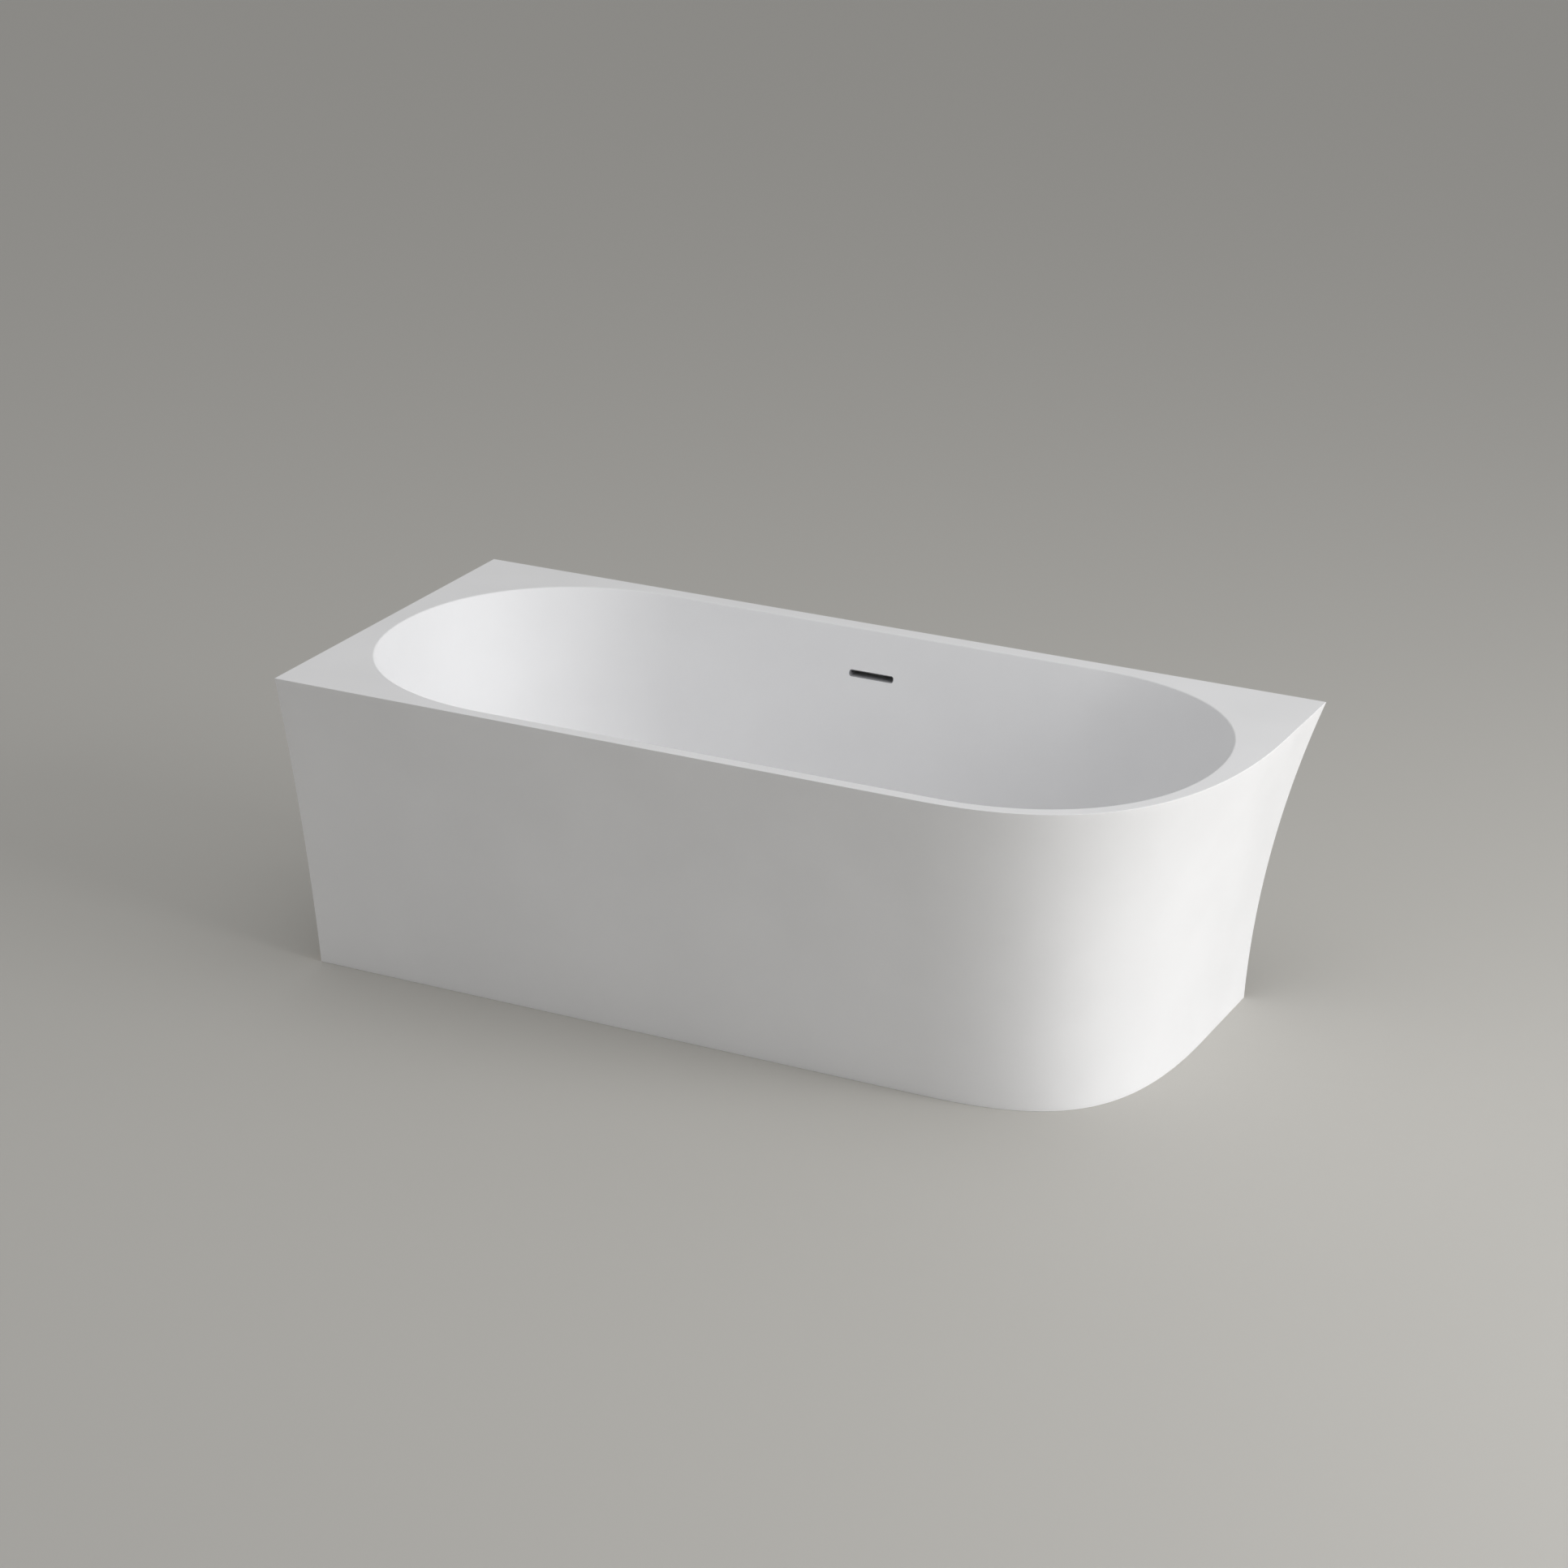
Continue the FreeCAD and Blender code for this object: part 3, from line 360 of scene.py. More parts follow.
def panHead(bm, place, axis, radius, rise):
    # a screw's domed head with a cross recess
    def dome(share):
        return rise * (0.35 + 0.65 * math.sqrt(1 - share * share))

    def recess(share, depth):
        def at(turn):
            cross = max(0.0, 1 - abs(math.sin(2 * turn)) / 0.5)
            return radius * share, dome(share) - depth * cross
        return at

    rows = [(radius, 0.0), (radius, rise * 0.35)] + [(radius * s, dome(s)) for s in (0.94, 0.82, 0.68)]
    rows += [recess(0.55, 0.15 * rise), recess(0.42, 0.6 * rise), recess(0.22, 0.7 * rise)]
    rows.append((radius * 0.08, 0.3 * rise))
    spin(bm, rows, place, axis, steps=48)


# The bath's main form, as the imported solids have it, and how finely its curves are drawn
form = {
    "length": 1700.0, "width": 780.0, "height": 600.0,
    "flareFront": 125.0, "flareFrontBow": 0.32, "flareRight": 119.0, "flareRightBow": 0.82,
    "rimAlong": 444.0, "rimOut": 558.0, "rimFullness": 0.672,
    "floorAlong": 351.0, "floorOut": 444.0, "floorFullness": 0.759,
    "apronWall": 8.0, "deck": 12.0, "lipDrop": 40.0, "lip": 12.0,
    "rimFront": 25.5, "rimBack": 32.5, "rimLeft": 38.0, "rimRight": 55.0,
    "endReach": 371.0, "reachLoss": 0.5, "basinFullness": 0.596, "depth": 415.0,
    "skin": 10.0, "floor": 18.0, "endSlope": 16.0, "endRadius": 300.0,
    "sideSlope": 15.0, "sideRadius": 85.0,
    "plainRows": (130.0, 165.0), "edgeStrip": 1.5,
    "slotX": -13.0, "slotDrop": 82.0, "slotLength": 90.5, "slotHeight": 13.0, "slotRound": 5.0,
    "slotSide": 10.0, "slotBand": 14.0, "padLength": 150.0, "padHeight": 32.0, "padFromWall": 37.0,
    "hole": 26.0, "recess": 36.0, "dish": 150.0, "dishDepth": 4.0, "dishStrip": 2.0, "seatDrop": 3.5,
    "edgeRound": 0.9, "footRound": 1.0, "mouthRound": 2.4,
}
fineness = {"front": 24, "corner": 96, "right": 8, "rise": 36, "inside": 12, "quarter": 48, "endRound": 26,
            "sideRound": 12, "closest": 0.6, "dish": 8}
halfLength = form["length"] / 2
halfWidth = form["width"] / 2
rimHeight = form["height"]
basinHalfLength = (form["length"] - form["rimLeft"] - form["rimRight"]) / 2
basinHalfWidth = (form["width"] - form["rimFront"] - form["rimBack"]) / 2
basinX = (form["rimLeft"] - form["rimRight"]) / 2
basinY = (form["rimFront"] - form["rimBack"]) / 2
wasteX, wasteY = form["slotX"], basinY
slotZ = rimHeight - form["slotDrop"]
floorZ = rimHeight - form["depth"]
padY = halfWidth - form["padFromWall"]


def quarterRound(start, corner, end, fullness, steps):
    # Bezier quarter from start to end, without its last point
    a = start + (corner - start) * fullness
    b = end + (corner - end) * fullness
    points = []
    for i in range(steps):
        t = i / steps
        points.append(start * (1 - t) ** 3 + a * 3 * t * (1 - t) ** 2 + b * 3 * t * t * (1 - t) + end * t ** 3)
    return points


def apronRow(z, inset):
    # the apron's plan at height z, from the left wall round to the back wall
    share = max(z, 0.0) / rimHeight
    frontY = -halfWidth + form["flareFront"] * (1 - share) * (1 + form["flareFrontBow"] * share) + inset
    rightX = halfLength - form["flareRight"] * (1 - share) * (1 + form["flareRightBow"] * share) - inset
    along = form["floorAlong"] + (form["rimAlong"] - form["floorAlong"]) * share - inset
    out = form["floorOut"] + (form["rimOut"] - form["floorOut"]) * share - inset
    fullness = form["floorFullness"] + (form["rimFullness"] - form["floorFullness"]) * share
    start = Vector((rightX - along, frontY, z))
    end = Vector((rightX, frontY + out, z))
    lipX = -halfLength + form["lip"]
    points = [Vector((-halfLength, frontY, z))]
    points += [Vector((lipX + (start.x - lipX) * i / fineness["front"], frontY, z)) for i in range(fineness["front"])]
    points += quarterRound(start, Vector((rightX, frontY, z)), end, fullness, fineness["corner"])
    lipY = halfWidth - form["lip"]
    steps = fineness["right"]
    points += [Vector((rightX, end.y + (lipY - end.y) * i / steps, z)) for i in range(steps + 1)]
    points.append(Vector((rightX, halfWidth, z)))
    return points


def makeApron():
    bm = bmesh.new()
    top, foot = form["edgeRound"], form["footRound"]
    rows = easedRows(apronRow(0, foot), apronRow(0, 0), apronRow(foot, 0))
    steps = fineness["rise"]
    rows += [apronRow((rimHeight - top) * i / steps, 0) for i in range(1, steps)]
    rows += easedRows(apronRow(rimHeight - top, 0), apronRow(rimHeight, 0), apronRow(rimHeight, top))
    shown = len(rows)
    under = rimHeight - form["deck"]
    steps = fineness["inside"]
    rows += [apronRow(under * (1 - i / steps), form["apronWall"]) for i in range(steps + 1)]
    verts = [ringVerts(bm, row) for row in rows]
    for low, high in zip(verts[:shown - 1], verts[1:shown]):
        bridge(bm, low, high, closed=False)
    first = len(bm.faces)
    for low, high in zip(verts[shown - 1:], verts[shown:] + verts[:1]):
        bridge(bm, low, high, closed=False)
    bm.faces.new([row[0] for row in verts])
    bm.faces.new([row[-1] for row in verts])
    markHidden(bm, first)
    return finishPiece("apron", bm, mineral, rawMineral)


def wallRun(depth, slope, radius):
    # how far a wall has come in at this depth
    lean = math.radians(slope)
    roundStart = form["depth"] - radius * (1 - math.sin(lean))
    if depth <= roundStart:
        return depth * math.tan(lean)
    rise = min(depth - (form["depth"] - radius), radius)
    return roundStart * math.tan(lean) + radius * math.cos(lean) - math.sqrt(radius ** 2 - rise ** 2)


def basinRow(depth, grow, drop, columns):
    # the basin's oval at this depth, with extra points at the given columns of its long sides
    z = rimHeight - depth - drop * (depth / form["depth"]) ** 3
    endRun = wallRun(depth, form["endSlope"], form["endRadius"])
    long = basinHalfLength - endRun + grow
    wide = basinHalfWidth - wallRun(depth, form["sideSlope"], form["sideRadius"]) + grow
    reach = form["endReach"] - form["reachLoss"] * endRun + grow
    right, left, front, back = basinX + long, basinX - long, basinY - wide, basinY + wide
    full, steps = form["basinFullness"], fineness["quarter"]
    at = lambda x, y: Vector((x, y, z))
    points = quarterRound(at(right - reach, front), at(right, front), at(right, basinY), full, steps)
    points += quarterRound(at(right, basinY), at(right, back), at(right - reach, back), full, steps)
    points.append(at(right - reach, back))
    points += [at(x, back) for x in sorted(columns, reverse=True)]
    points += quarterRound(at(left + reach, back), at(left, back), at(left, basinY), full, steps)
    points += quarterRound(at(left, basinY), at(left, front), at(left + reach, front), full, steps)
    points.append(at(left + reach, front))
    points += [at(x, front) for x in sorted(columns)]
    return points


def depthAt(z, drop):
    # the depth whose row lies at this height
    low, high = 0.0, form["depth"]
    for _ in range(50):
        middle = (low + high) / 2
        if rimHeight - middle - drop * (middle / form["depth"]) ** 3 > z:
            low = middle
        else:
            high = middle
    return (low + high) / 2


def roundDepths(slope, radius, steps):
    lean = math.radians(slope)
    turns = [lean + (math.pi / 2 - lean) * i / steps for i in range(steps + 1)]
    return [form["depth"] - radius * (1 - math.sin(turn)) for turn in turns]


def backWallY(z):
    # the basin's back wall at a height above the floor's round
    return basinY + basinHalfWidth - wallRun(rimHeight - z, form["sideSlope"], form["sideRadius"])


def roundedRow(middleX, middleZ, halfX, halfZ, radius, y, steps=6):
    # a rounded rectangle that faces the back wall, from its right end's lower corner; y may depend on the height
    points = []
    for quarter, (sideX, sideZ) in enumerate(((1, -1), (1, 1), (-1, 1), (-1, -1))):
        for i in range(steps + 1):
            turn = math.pi / 2 * (quarter - 1 + i / steps)
            x = middleX + sideX * (halfX - radius) + radius * math.cos(turn)
            z = middleZ + sideZ * (halfZ - radius) + radius * math.sin(turn)
            points.append(Vector((x, y(z) if callable(y) else y, z)))
    return points


def slotPoints(shrink, y):
    return roundedRow(form["slotX"], slotZ, form["slotLength"] / 2 - shrink, form["slotHeight"] / 2 - shrink,
                      form["slotRound"] - shrink, y, steps=8)


def circlePoints(radius, z, steps=96):
    turns = [2 * math.pi * i / steps for i in range(steps)]
    return [Vector((wasteX + radius * math.cos(a), wasteY + radius * math.sin(a), z)) for a in turns]


def makeShell():
    bm = bmesh.new()
    cellHalf = form["slotLength"] / 2 + form["slotSide"]
    columns = [form["slotX"] - cellHalf, form["slotX"] + cellHalf]
    cell = [form["slotDrop"] - form["slotBand"], form["slotDrop"] + form["slotBand"]]
    slotQuad = 2 * fineness["quarter"] + 1       # the piece of the back's straight run that holds the slot

    # inside of the basin
    r = form["mouthRound"]
    rows = [basinRow(0, r + form["edgeStrip"], 0, columns)]
    rows += easedRows(basinRow(0, r, 0, columns), basinRow(0, 0, 0, columns), basinRow(r, 0, 0, columns))
    depths = cell + list(form["plainRows"])
    depths += roundDepths(form["endSlope"], form["endRadius"], fineness["endRound"])
    depths += roundDepths(form["sideSlope"], form["sideRadius"], fineness["sideRound"])[:-1]
    kept = []
    for depth in sorted(depths):
        if not kept or depth - kept[-1] > fineness["closest"]:
            kept.append(depth)
    kept[-1] = form["depth"]
    inner = [ringVerts(bm, row) for row in rows + [basinRow(d, 0, 0, columns) for d in kept]]
    cellRow = len(rows)
    for k in range(len(inner) - 1):
        bridge(bm, inner[k], inner[k + 1], skip=(slotQuad,) if k == cellRow else ())

    # slot: its hole in the sloping wall and the tunnel behind it
    upper, lower = inner[cellRow], inner[cellRow + 1]
    slotFront = ringVerts(bm, slotPoints(0.0, backWallY))
    slotBack = ringVerts(bm, slotPoints(0.0, padY))
    fillFlat(bm, [upper[slotQuad], upper[slotQuad + 1], lower[slotQuad + 1], lower[slotQuad]], slotFront)
    bridge(bm, slotFront, slotBack)

    # floor: flat, a shallow dish round the waste, the flange's seat and the hole
    seatZ = floorZ - form["dishDepth"] - form["seatDrop"]
    circles = [circlePoints(form["dish"] + form["dishStrip"], floorZ)]
    for i in range(fineness["dish"] + 1):
        share = i / fineness["dish"]
        radius = form["dish"] + (form["recess"] - form["dish"]) * share
        circles.append(circlePoints(radius, floorZ - form["dishDepth"] * share * share * (3 - 2 * share)))
    circles += [circlePoints(form["recess"], seatZ), circlePoints(form["hole"], seatZ),
                circlePoints(form["hole"], floorZ - form["floor"])]
    circles = [ringVerts(bm, c) for c in circles]
    for a, b in zip(circles, circles[1:]):
        bridge(bm, a, b)
    fillFlat(bm, inner[-1], circles[0])

    # deck, its mitred edge and the outer faces of the lips that stand against the walls
    under = rimHeight - form["deck"]
    lipZ = under - form["lipDrop"]
    guard = ringVerts(bm, apronRow(rimHeight, form["edgeRound"] + form["edgeStrip"]))
    top = ringVerts(bm, apronRow(rimHeight, form["edgeRound"]))
    mitre = ringVerts(bm, apronRow(under, form["apronWall"]))
    bridge(bm, guard, top, closed=False)
    bridge(bm, top, mitre, closed=False)
    lipRow = apronRow(lipZ, form["apronWall"])
    wall = ringVerts(bm, [Vector((-halfLength, halfWidth, rimHeight)), Vector((-halfLength, halfWidth, lipZ))])
    ends = ringVerts(bm, [lipRow[0], lipRow[1], lipRow[-2], lipRow[-1]])
    inside = ringVerts(bm, [Vector((-halfLength + form["lip"], halfWidth - form["lip"], z)) for z in (under, lipZ)])
    fillFlat(bm, guard + [wall[0]], inner[0])

    # hidden side: the outside of the skin with the pad on it, the deck's underside and the lips' inner faces
    first = len(bm.faces)
    padColumns = [form["slotX"] - form["padLength"] / 2, form["slotX"] + form["padLength"] / 2]
    heights = [under, slotZ + form["padHeight"] / 2, slotZ - form["padHeight"] / 2]
    outerDepths = [depthAt(z, form["floor"]) for z in heights] + kept[len(cell) + len(form["plainRows"]):]
    outer = [ringVerts(bm, basinRow(d, form["skin"], form["floor"], padColumns)) for d in outerDepths]
    for k in range(len(outer) - 1):
        bridge(bm, outer[k], outer[k + 1], skip=(slotQuad,) if k == 1 else ())
    rim = [outer[1][slotQuad], outer[1][slotQuad + 1], outer[2][slotQuad + 1], outer[2][slotQuad]]
    face = ringVerts(bm, [Vector((v.co.x, padY, v.co.z)) for v in rim])
    bridge(bm, rim, face)
    fillFlat(bm, face, slotBack)
    fillFlat(bm, outer[-1], circles[-1])
    fillFlat(bm, mitre[1:-1] + [inside[0]], outer[0])
    for edge, beside in ((0, 1), (-1, -2)):
        bm.faces.new((mitre[beside], inside[0], inside[1], ends[beside]))
        bm.faces.new((ends[edge], ends[beside], inside[1], wall[1]))
        bm.faces.new((mitre[edge], mitre[beside], ends[beside], ends[edge]))
        bm.faces.new((guard[edge], top[edge], mitre[edge], ends[edge], wall[1], wall[0]))
    markHidden(bm, first)
    print("shell edges without two faces:", len([e for e in bm.edges if len(e.link_faces) != 2]))
    return finishPiece("basin_shell", bm, mineral, rawMineral)


settle(makeApron(), "bath", "cast_white", "outer_apron")
settle(makeShell(), "bath", "cast_white", "bath_shell")
print("apron and basin made")


# Overflow: a grey sleeve, dark in its depth, flush with the sloping wall, and the moulded box behind it
overflow = {
    "sleeveWall": 1.5, "sleeveEase": 0.5, "sleeveSetback": 0.3,
    "gasket": 2.0, "boxLength": 118.0, "boxHeight": 104.0, "boxDepth": 26.0, "boxWall": 2.5,
    "boxRound": 8.0, "backRound": 3.0, "panelInset": 9.0, "panelDepth": 1.0, "panelRound": 5.0, "panelEase": 1.0,
    "earReach": 14.0, "earHeight": 22.0, "earThickness": 5.0, "earRound": 7.0, "earEase": 1.0,
    "screwFromEnd": 7.0, "spigot": 15.1, "spigotBore": 13.1, "spigotLength": 26.0, "spigotFlare": 2.5, "spigotIn": 1.0,
    "tube": 13.0, "inletReach": 54.0, "inletDrop": 63.0,
}
boxFront = padY + overflow["gasket"]
boxBack = boxFront + overflow["boxDepth"]
boxTop = slotZ + form["padHeight"] / 2
boxBottom = boxTop - overflow["boxHeight"]
pipeY = (boxFront + boxBack) / 2


def makeSleeve():
    bm = bmesh.new()
    ease, setback = overflow["sleeveEase"], overflow["sleeveSetback"]
    wall = overflow["sleeveWall"]
    outlines = [(0.0, ease), (ease * 0.3, ease * 0.3), (ease, 0.0), (wall, ease)]
    rows = [ringVerts(bm, slotPoints(shrink, lambda z: backWallY(z) + setback + back)) for shrink, back in outlines]
    rows += [ringVerts(bm, slotPoints(shrink, boxFront)) for shrink in (wall, 0.0)]
    for low, high in zip(rows, rows[1:] + rows[:1]):
        bridge(bm, low, high)
    return finishPiece("overflow_sleeve", bm, greyNylon)


def roundedSlab(bm, middleX, middleZ, halfX, halfZ, radius, yLow, yHigh, ease):
    insets = [(0.0, yLow)] + [(ease * (1 - math.cos(t)), yHigh - ease * (1 - math.sin(t)))
                              for t in [math.pi / 2 * i / 4 for i in range(5)]]
    rows = [ringVerts(bm, roundedRow(middleX, middleZ, halfX - d, halfZ - d, radius - d, y)) for d, y in insets]
    for low, high in zip(rows, rows[1:]):
        bridge(bm, low, high)
    return rows


def makeOverflowBox():
    bm = bmesh.new()
    x, middleZ = form["slotX"], (boxTop + boxBottom) / 2
    halfX, halfZ, wall = overflow["boxLength"] / 2, overflow["boxHeight"] / 2, overflow["boxWall"]
    rows = roundedSlab(bm, x, middleZ, halfX, halfZ, overflow["boxRound"], boxFront, boxBack, overflow["backRound"])
    inset, ease, panelRound = overflow["panelInset"], overflow["panelEase"], overflow["panelRound"]
    panelBack = boxBack - overflow["panelDepth"]
    border = ringVerts(bm, roundedRow(x, middleZ, halfX - inset, halfZ - inset, panelRound, boxBack))
    inset += ease
    panel = ringVerts(bm, roundedRow(x, middleZ, halfX - inset, halfZ - inset, panelRound - ease, panelBack))
    bridge(bm, rows[-1], border)
    bridge(bm, border, panel)
    bm.faces.new(panel)

    # front plate with the slot, and the hollow behind it
    mouth = ringVerts(bm, slotPoints(0.0, boxFront))
    throat = ringVerts(bm, slotPoints(0.0, boxFront + wall))
    near, far = [ringVerts(bm, roundedRow(x, middleZ, halfX - wall, halfZ - wall, overflow["boxRound"] - wall, y))
                 for y in (boxFront + wall, panelBack - wall)]
    fillFlat(bm, rows[0], mouth)
    bridge(bm, mouth, throat)
    fillFlat(bm, near, throat)
    bridge(bm, near, far)
    bm.faces.new(far)

    # ears at the slot's height, and the spigot below
    for side in (-1, 1):
        earX = x + side * (halfX - wall + (overflow["earReach"] + wall) / 2)
        ear = roundedSlab(bm, earX, slotZ, (overflow["earReach"] + wall) / 2, overflow["earHeight"] / 2,
                          overflow["earRound"], boxFront, boxFront + overflow["earThickness"], overflow["earEase"])
        bm.faces.new(ear[0])
        bm.faces.new(ear[-1])
    length, outer, bore = overflow["spigotLength"], overflow["spigot"], overflow["spigotBore"]
    top = length + overflow["spigotIn"]
    profile = [(bore, 0, 0.4), (outer, 0, 0.6), (outer, length, 0), (outer + overflow["spigotFlare"], top, 0),
               (bore, top, 0)]
    spin(bm, easedProfile(profile), (x, pipeY, boxBottom - length), (0, 0, 1), ring=True)
    return finishPiece("overflow_box_moulded", bm, polypropylene)


settle(makeSleeve(), "bath", "black_plastic", "overflow_lining")
settle(makeOverflowBox(), "bath", "white_plastic", "overflow_box")

# Trap: a shallow moulded drum with a parting bead, its neck and its side spigot
trap = {"radius": 50.0, "low": 12.0, "high": 60.0, "neck": 27.1, "neckBore": 24.1, "neckTop": 74.0, "wall": 3.0,
        "spigot": 23.1, "socket": 20.1, "reach": 78.0, "axisZ": 36.0, "neckTube": 24.0, "outletTube": 20.0,
        "bead": 0.8, "beadHalf": 1.8, "beadFoot": 2.4, "beadRise": 6.0,
        "ringTop": 7.0, "ringRise": 5.0, "ringIn": 3.0, "ringWidth": 6.0, "sinkIn": 1.0}

# Ring nuts with grip ribs. Each has its mouth's place, its axis, the spigot that it turns on and its tube.
nuts = {"length": 12.0, "lip": 3.0, "wall": 3.7, "clearance": 0.2, "ribDepth": 1.3, "footInset": 1.9,
        "footRise": 0.9, "ribEnd": 2.4, "easeDrop": 1.2, "easeInset": 0.5, "faceInset": 2.6, "stepsPerRib": 8}
inletZ = floorZ - form["floor"] - overflow["inletDrop"]
overflowUnion = (overflow["spigot"], overflow["tube"])
gripNuts = {
    "overflow_ring_nuts": ("overflow_nuts", 16, [
        ((wasteX, pipeY, boxBottom - overflow["spigotLength"]), (0, 0, -1), *overflowUnion),
        ((wasteX, wasteY + overflow["inletReach"], inletZ), (0, 1, 0), *overflowUnion)]),
    "trap_ring_nut": ("trap_union_nut", 24, [
        ((wasteX, wasteY, trap["neckTop"]), (0, 0, 1), trap["neck"], trap["neckTube"])]),
    "outlet_ring_nut": ("trap_outlet_nut", 20, [
        ((wasteX, wasteY + trap["reach"], trap["axisZ"]), (0, 1, 0), trap["spigot"], trap["outletTube"])]),
}


def gripNut(bm, mouth, axis, spigot, tube, ribs):
    # a moulded ring nut over a spigot's mouth, with grip ribs and a lip that closes round the tube
    outer, bore, lipBore = spigot + nuts["wall"], spigot + nuts["clearance"], tube + nuts["clearance"]
    length, lip = nuts["length"], nuts["lip"]

    def ribbed(rise, inset):
        return lambda turn: (outer - inset - nuts["ribDepth"] * (0.5 - 0.5 * math.cos(ribs * turn)) ** 2, rise)

    rows = [(bore, -length), (outer - nuts["footInset"], -length), ribbed(nuts["footRise"] - length, 0.0),
            ribbed(lip - nuts["ribEnd"], 0.0), ribbed(lip - nuts["easeDrop"], nuts["easeInset"]),
            (outer - nuts["faceInset"], lip), (lipBore, lip), (lipBore, 0.0), (bore, 0.0)]
    spin(bm, rows, mouth, axis, steps=ribs * nuts["stepsPerRib"], ring=True)


for name, (replaced, ribs, places) in gripNuts.items():
    bm = bmesh.new()
    for place in places:
        gripNut(bm, *place, ribs)
    settle(finishPiece(name, bm, polypropylene), "bath", "white_plastic", replaced)


def makeTrap():
    bm = bmesh.new()
    bead, wall, low, high = trap["bead"], trap["wall"], trap["low"], trap["high"]
    radius = trap["radius"] - bead
    middle = (low + high) / 2 + trap["beadRise"]
    ringRadius = radius - trap["ringIn"]
    ringInner = ringRadius - trap["ringWidth"]
    profile = [(radius - wall, low + wall, 0), (radius - wall, high - wall, 0),
               (trap["neckBore"], high - wall, 0), (trap["neckBore"], trap["neckTop"], 0.4),
               (trap["neck"], trap["neckTop"], 0.4), (trap["neck"], high, 1.6), (radius, high, 4.0),
               (radius, middle + trap["beadFoot"], 0.5), (radius + bead, middle + trap["beadHalf"], 0.4),
               (radius + bead, middle - trap["beadHalf"], 0.4), (radius, middle - trap["beadFoot"], 0.5),
               (radius, low + trap["ringTop"], 0.8), (ringRadius, low + trap["ringRise"], 0.8),
               (ringRadius, low, 2.0), (ringInner, low, 0.6), (ringInner - 1, low + 1, 0.4)]
    spin(bm, easedProfile(profile), (wasteX, wasteY, 0), (0, 0, 1), steps=96)
    start = radius - wall - trap["sinkIn"]
    outlet = easedProfile([(trap["socket"], trap["reach"], 0.4), (trap["spigot"], trap["reach"], 0.5),
                           (trap["spigot"], start, 0), (trap["socket"], start, 0)])
    spin(bm, outlet, (wasteX, wasteY, trap["axisZ"]), (0, 1, 0), ring=True)
    return finishPiece("trap_moulded", bm, polypropylene)


settle(makeTrap(), "bath", "white_plastic", "trap_body")
print("overflow and trap made")

# Waste plug: a polished cap with a true dome, an eased edge and the boss that takes the plunger
plug = {"radius": 34.0, "bottom": 183.0, "edge": 2.5, "dome": 3.0, "boss": 9.0, "bossLength": 8.0,
        "bore": 4.0, "bossFloor": 2.0, "ease": 0.9, "domeStart": 0.9, "domeSteps": 13, "pole": 0.01}


def makePlugCap():
    bm = bmesh.new()
    low, rim = plug["bottom"], plug["bottom"] + plug["edge"]
    start, steps = plug["domeStart"], plug["domeSteps"]
    profile = easedProfile([(plug["bore"], low - plug["bossFloor"], 0), (plug["bore"], low - plug["bossLength"], 0.3),
                            (plug["boss"], low - plug["bossLength"], 0.8), (plug["boss"], low, 0.6),
                            (plug["radius"], low, plug["ease"]), (plug["radius"], rim, plug["ease"]),
                            (plug["radius"] * start, rim + plug["dome"] * (1 - start ** 2), 0)])
    for i in range(1, steps + 1):
        share = start * (1 - i / steps) + plug["pole"]
        profile.append((plug["radius"] * share, rim + plug["dome"] * (1 - share ** 2)))
    spin(bm, profile, (wasteX, wasteY, 0), (0, 0, 1), steps=96)
    return finishPiece("plug_cap_polished", bm, chrome, smoothAngle=40.0)


settle(makePlugCap(), "plug", "chromed", "plug_cap")

# Feet: moulded rubber pads with webs, M12 stems with their thread, and chamfered nuts under the cross rails
foot = {"padRadius": 24.0, "padEdge": 4.0, "padHeight": 10.0, "hub": 12.0, "socket": 6.08, "socketFloor": 3.0,
        "webs": 8, "webThickness": 2.0, "stem": 6.0, "threadDepth": 0.95, "pitch": 1.75, "stemTop": 117.0,
        "hexFlats": 20.0, "hexLow": 14.0, "hexRise": 8.0, "nutBore": 6.08,
        "flatEnd": 0.3, "crestShare": 0.25, "rootShare": 0.6, "solePocket": 5.0,
        "weldFlats": 22.0, "weldRise": 8.0, "lockFlats": 19.0, "lockRise": 6.0, "railBottom": 92.0}


def footPlace(place):
    # the foot's place on the floor, from its packed pad
    corners = [nodes["foot_pad_" + place].matrix_world @ Vector(c) / mm for c in nodes["foot_pad_" + place].bound_box]
    return sum(c.x for c in corners) / 8, sum(c.y for c in corners) / 8


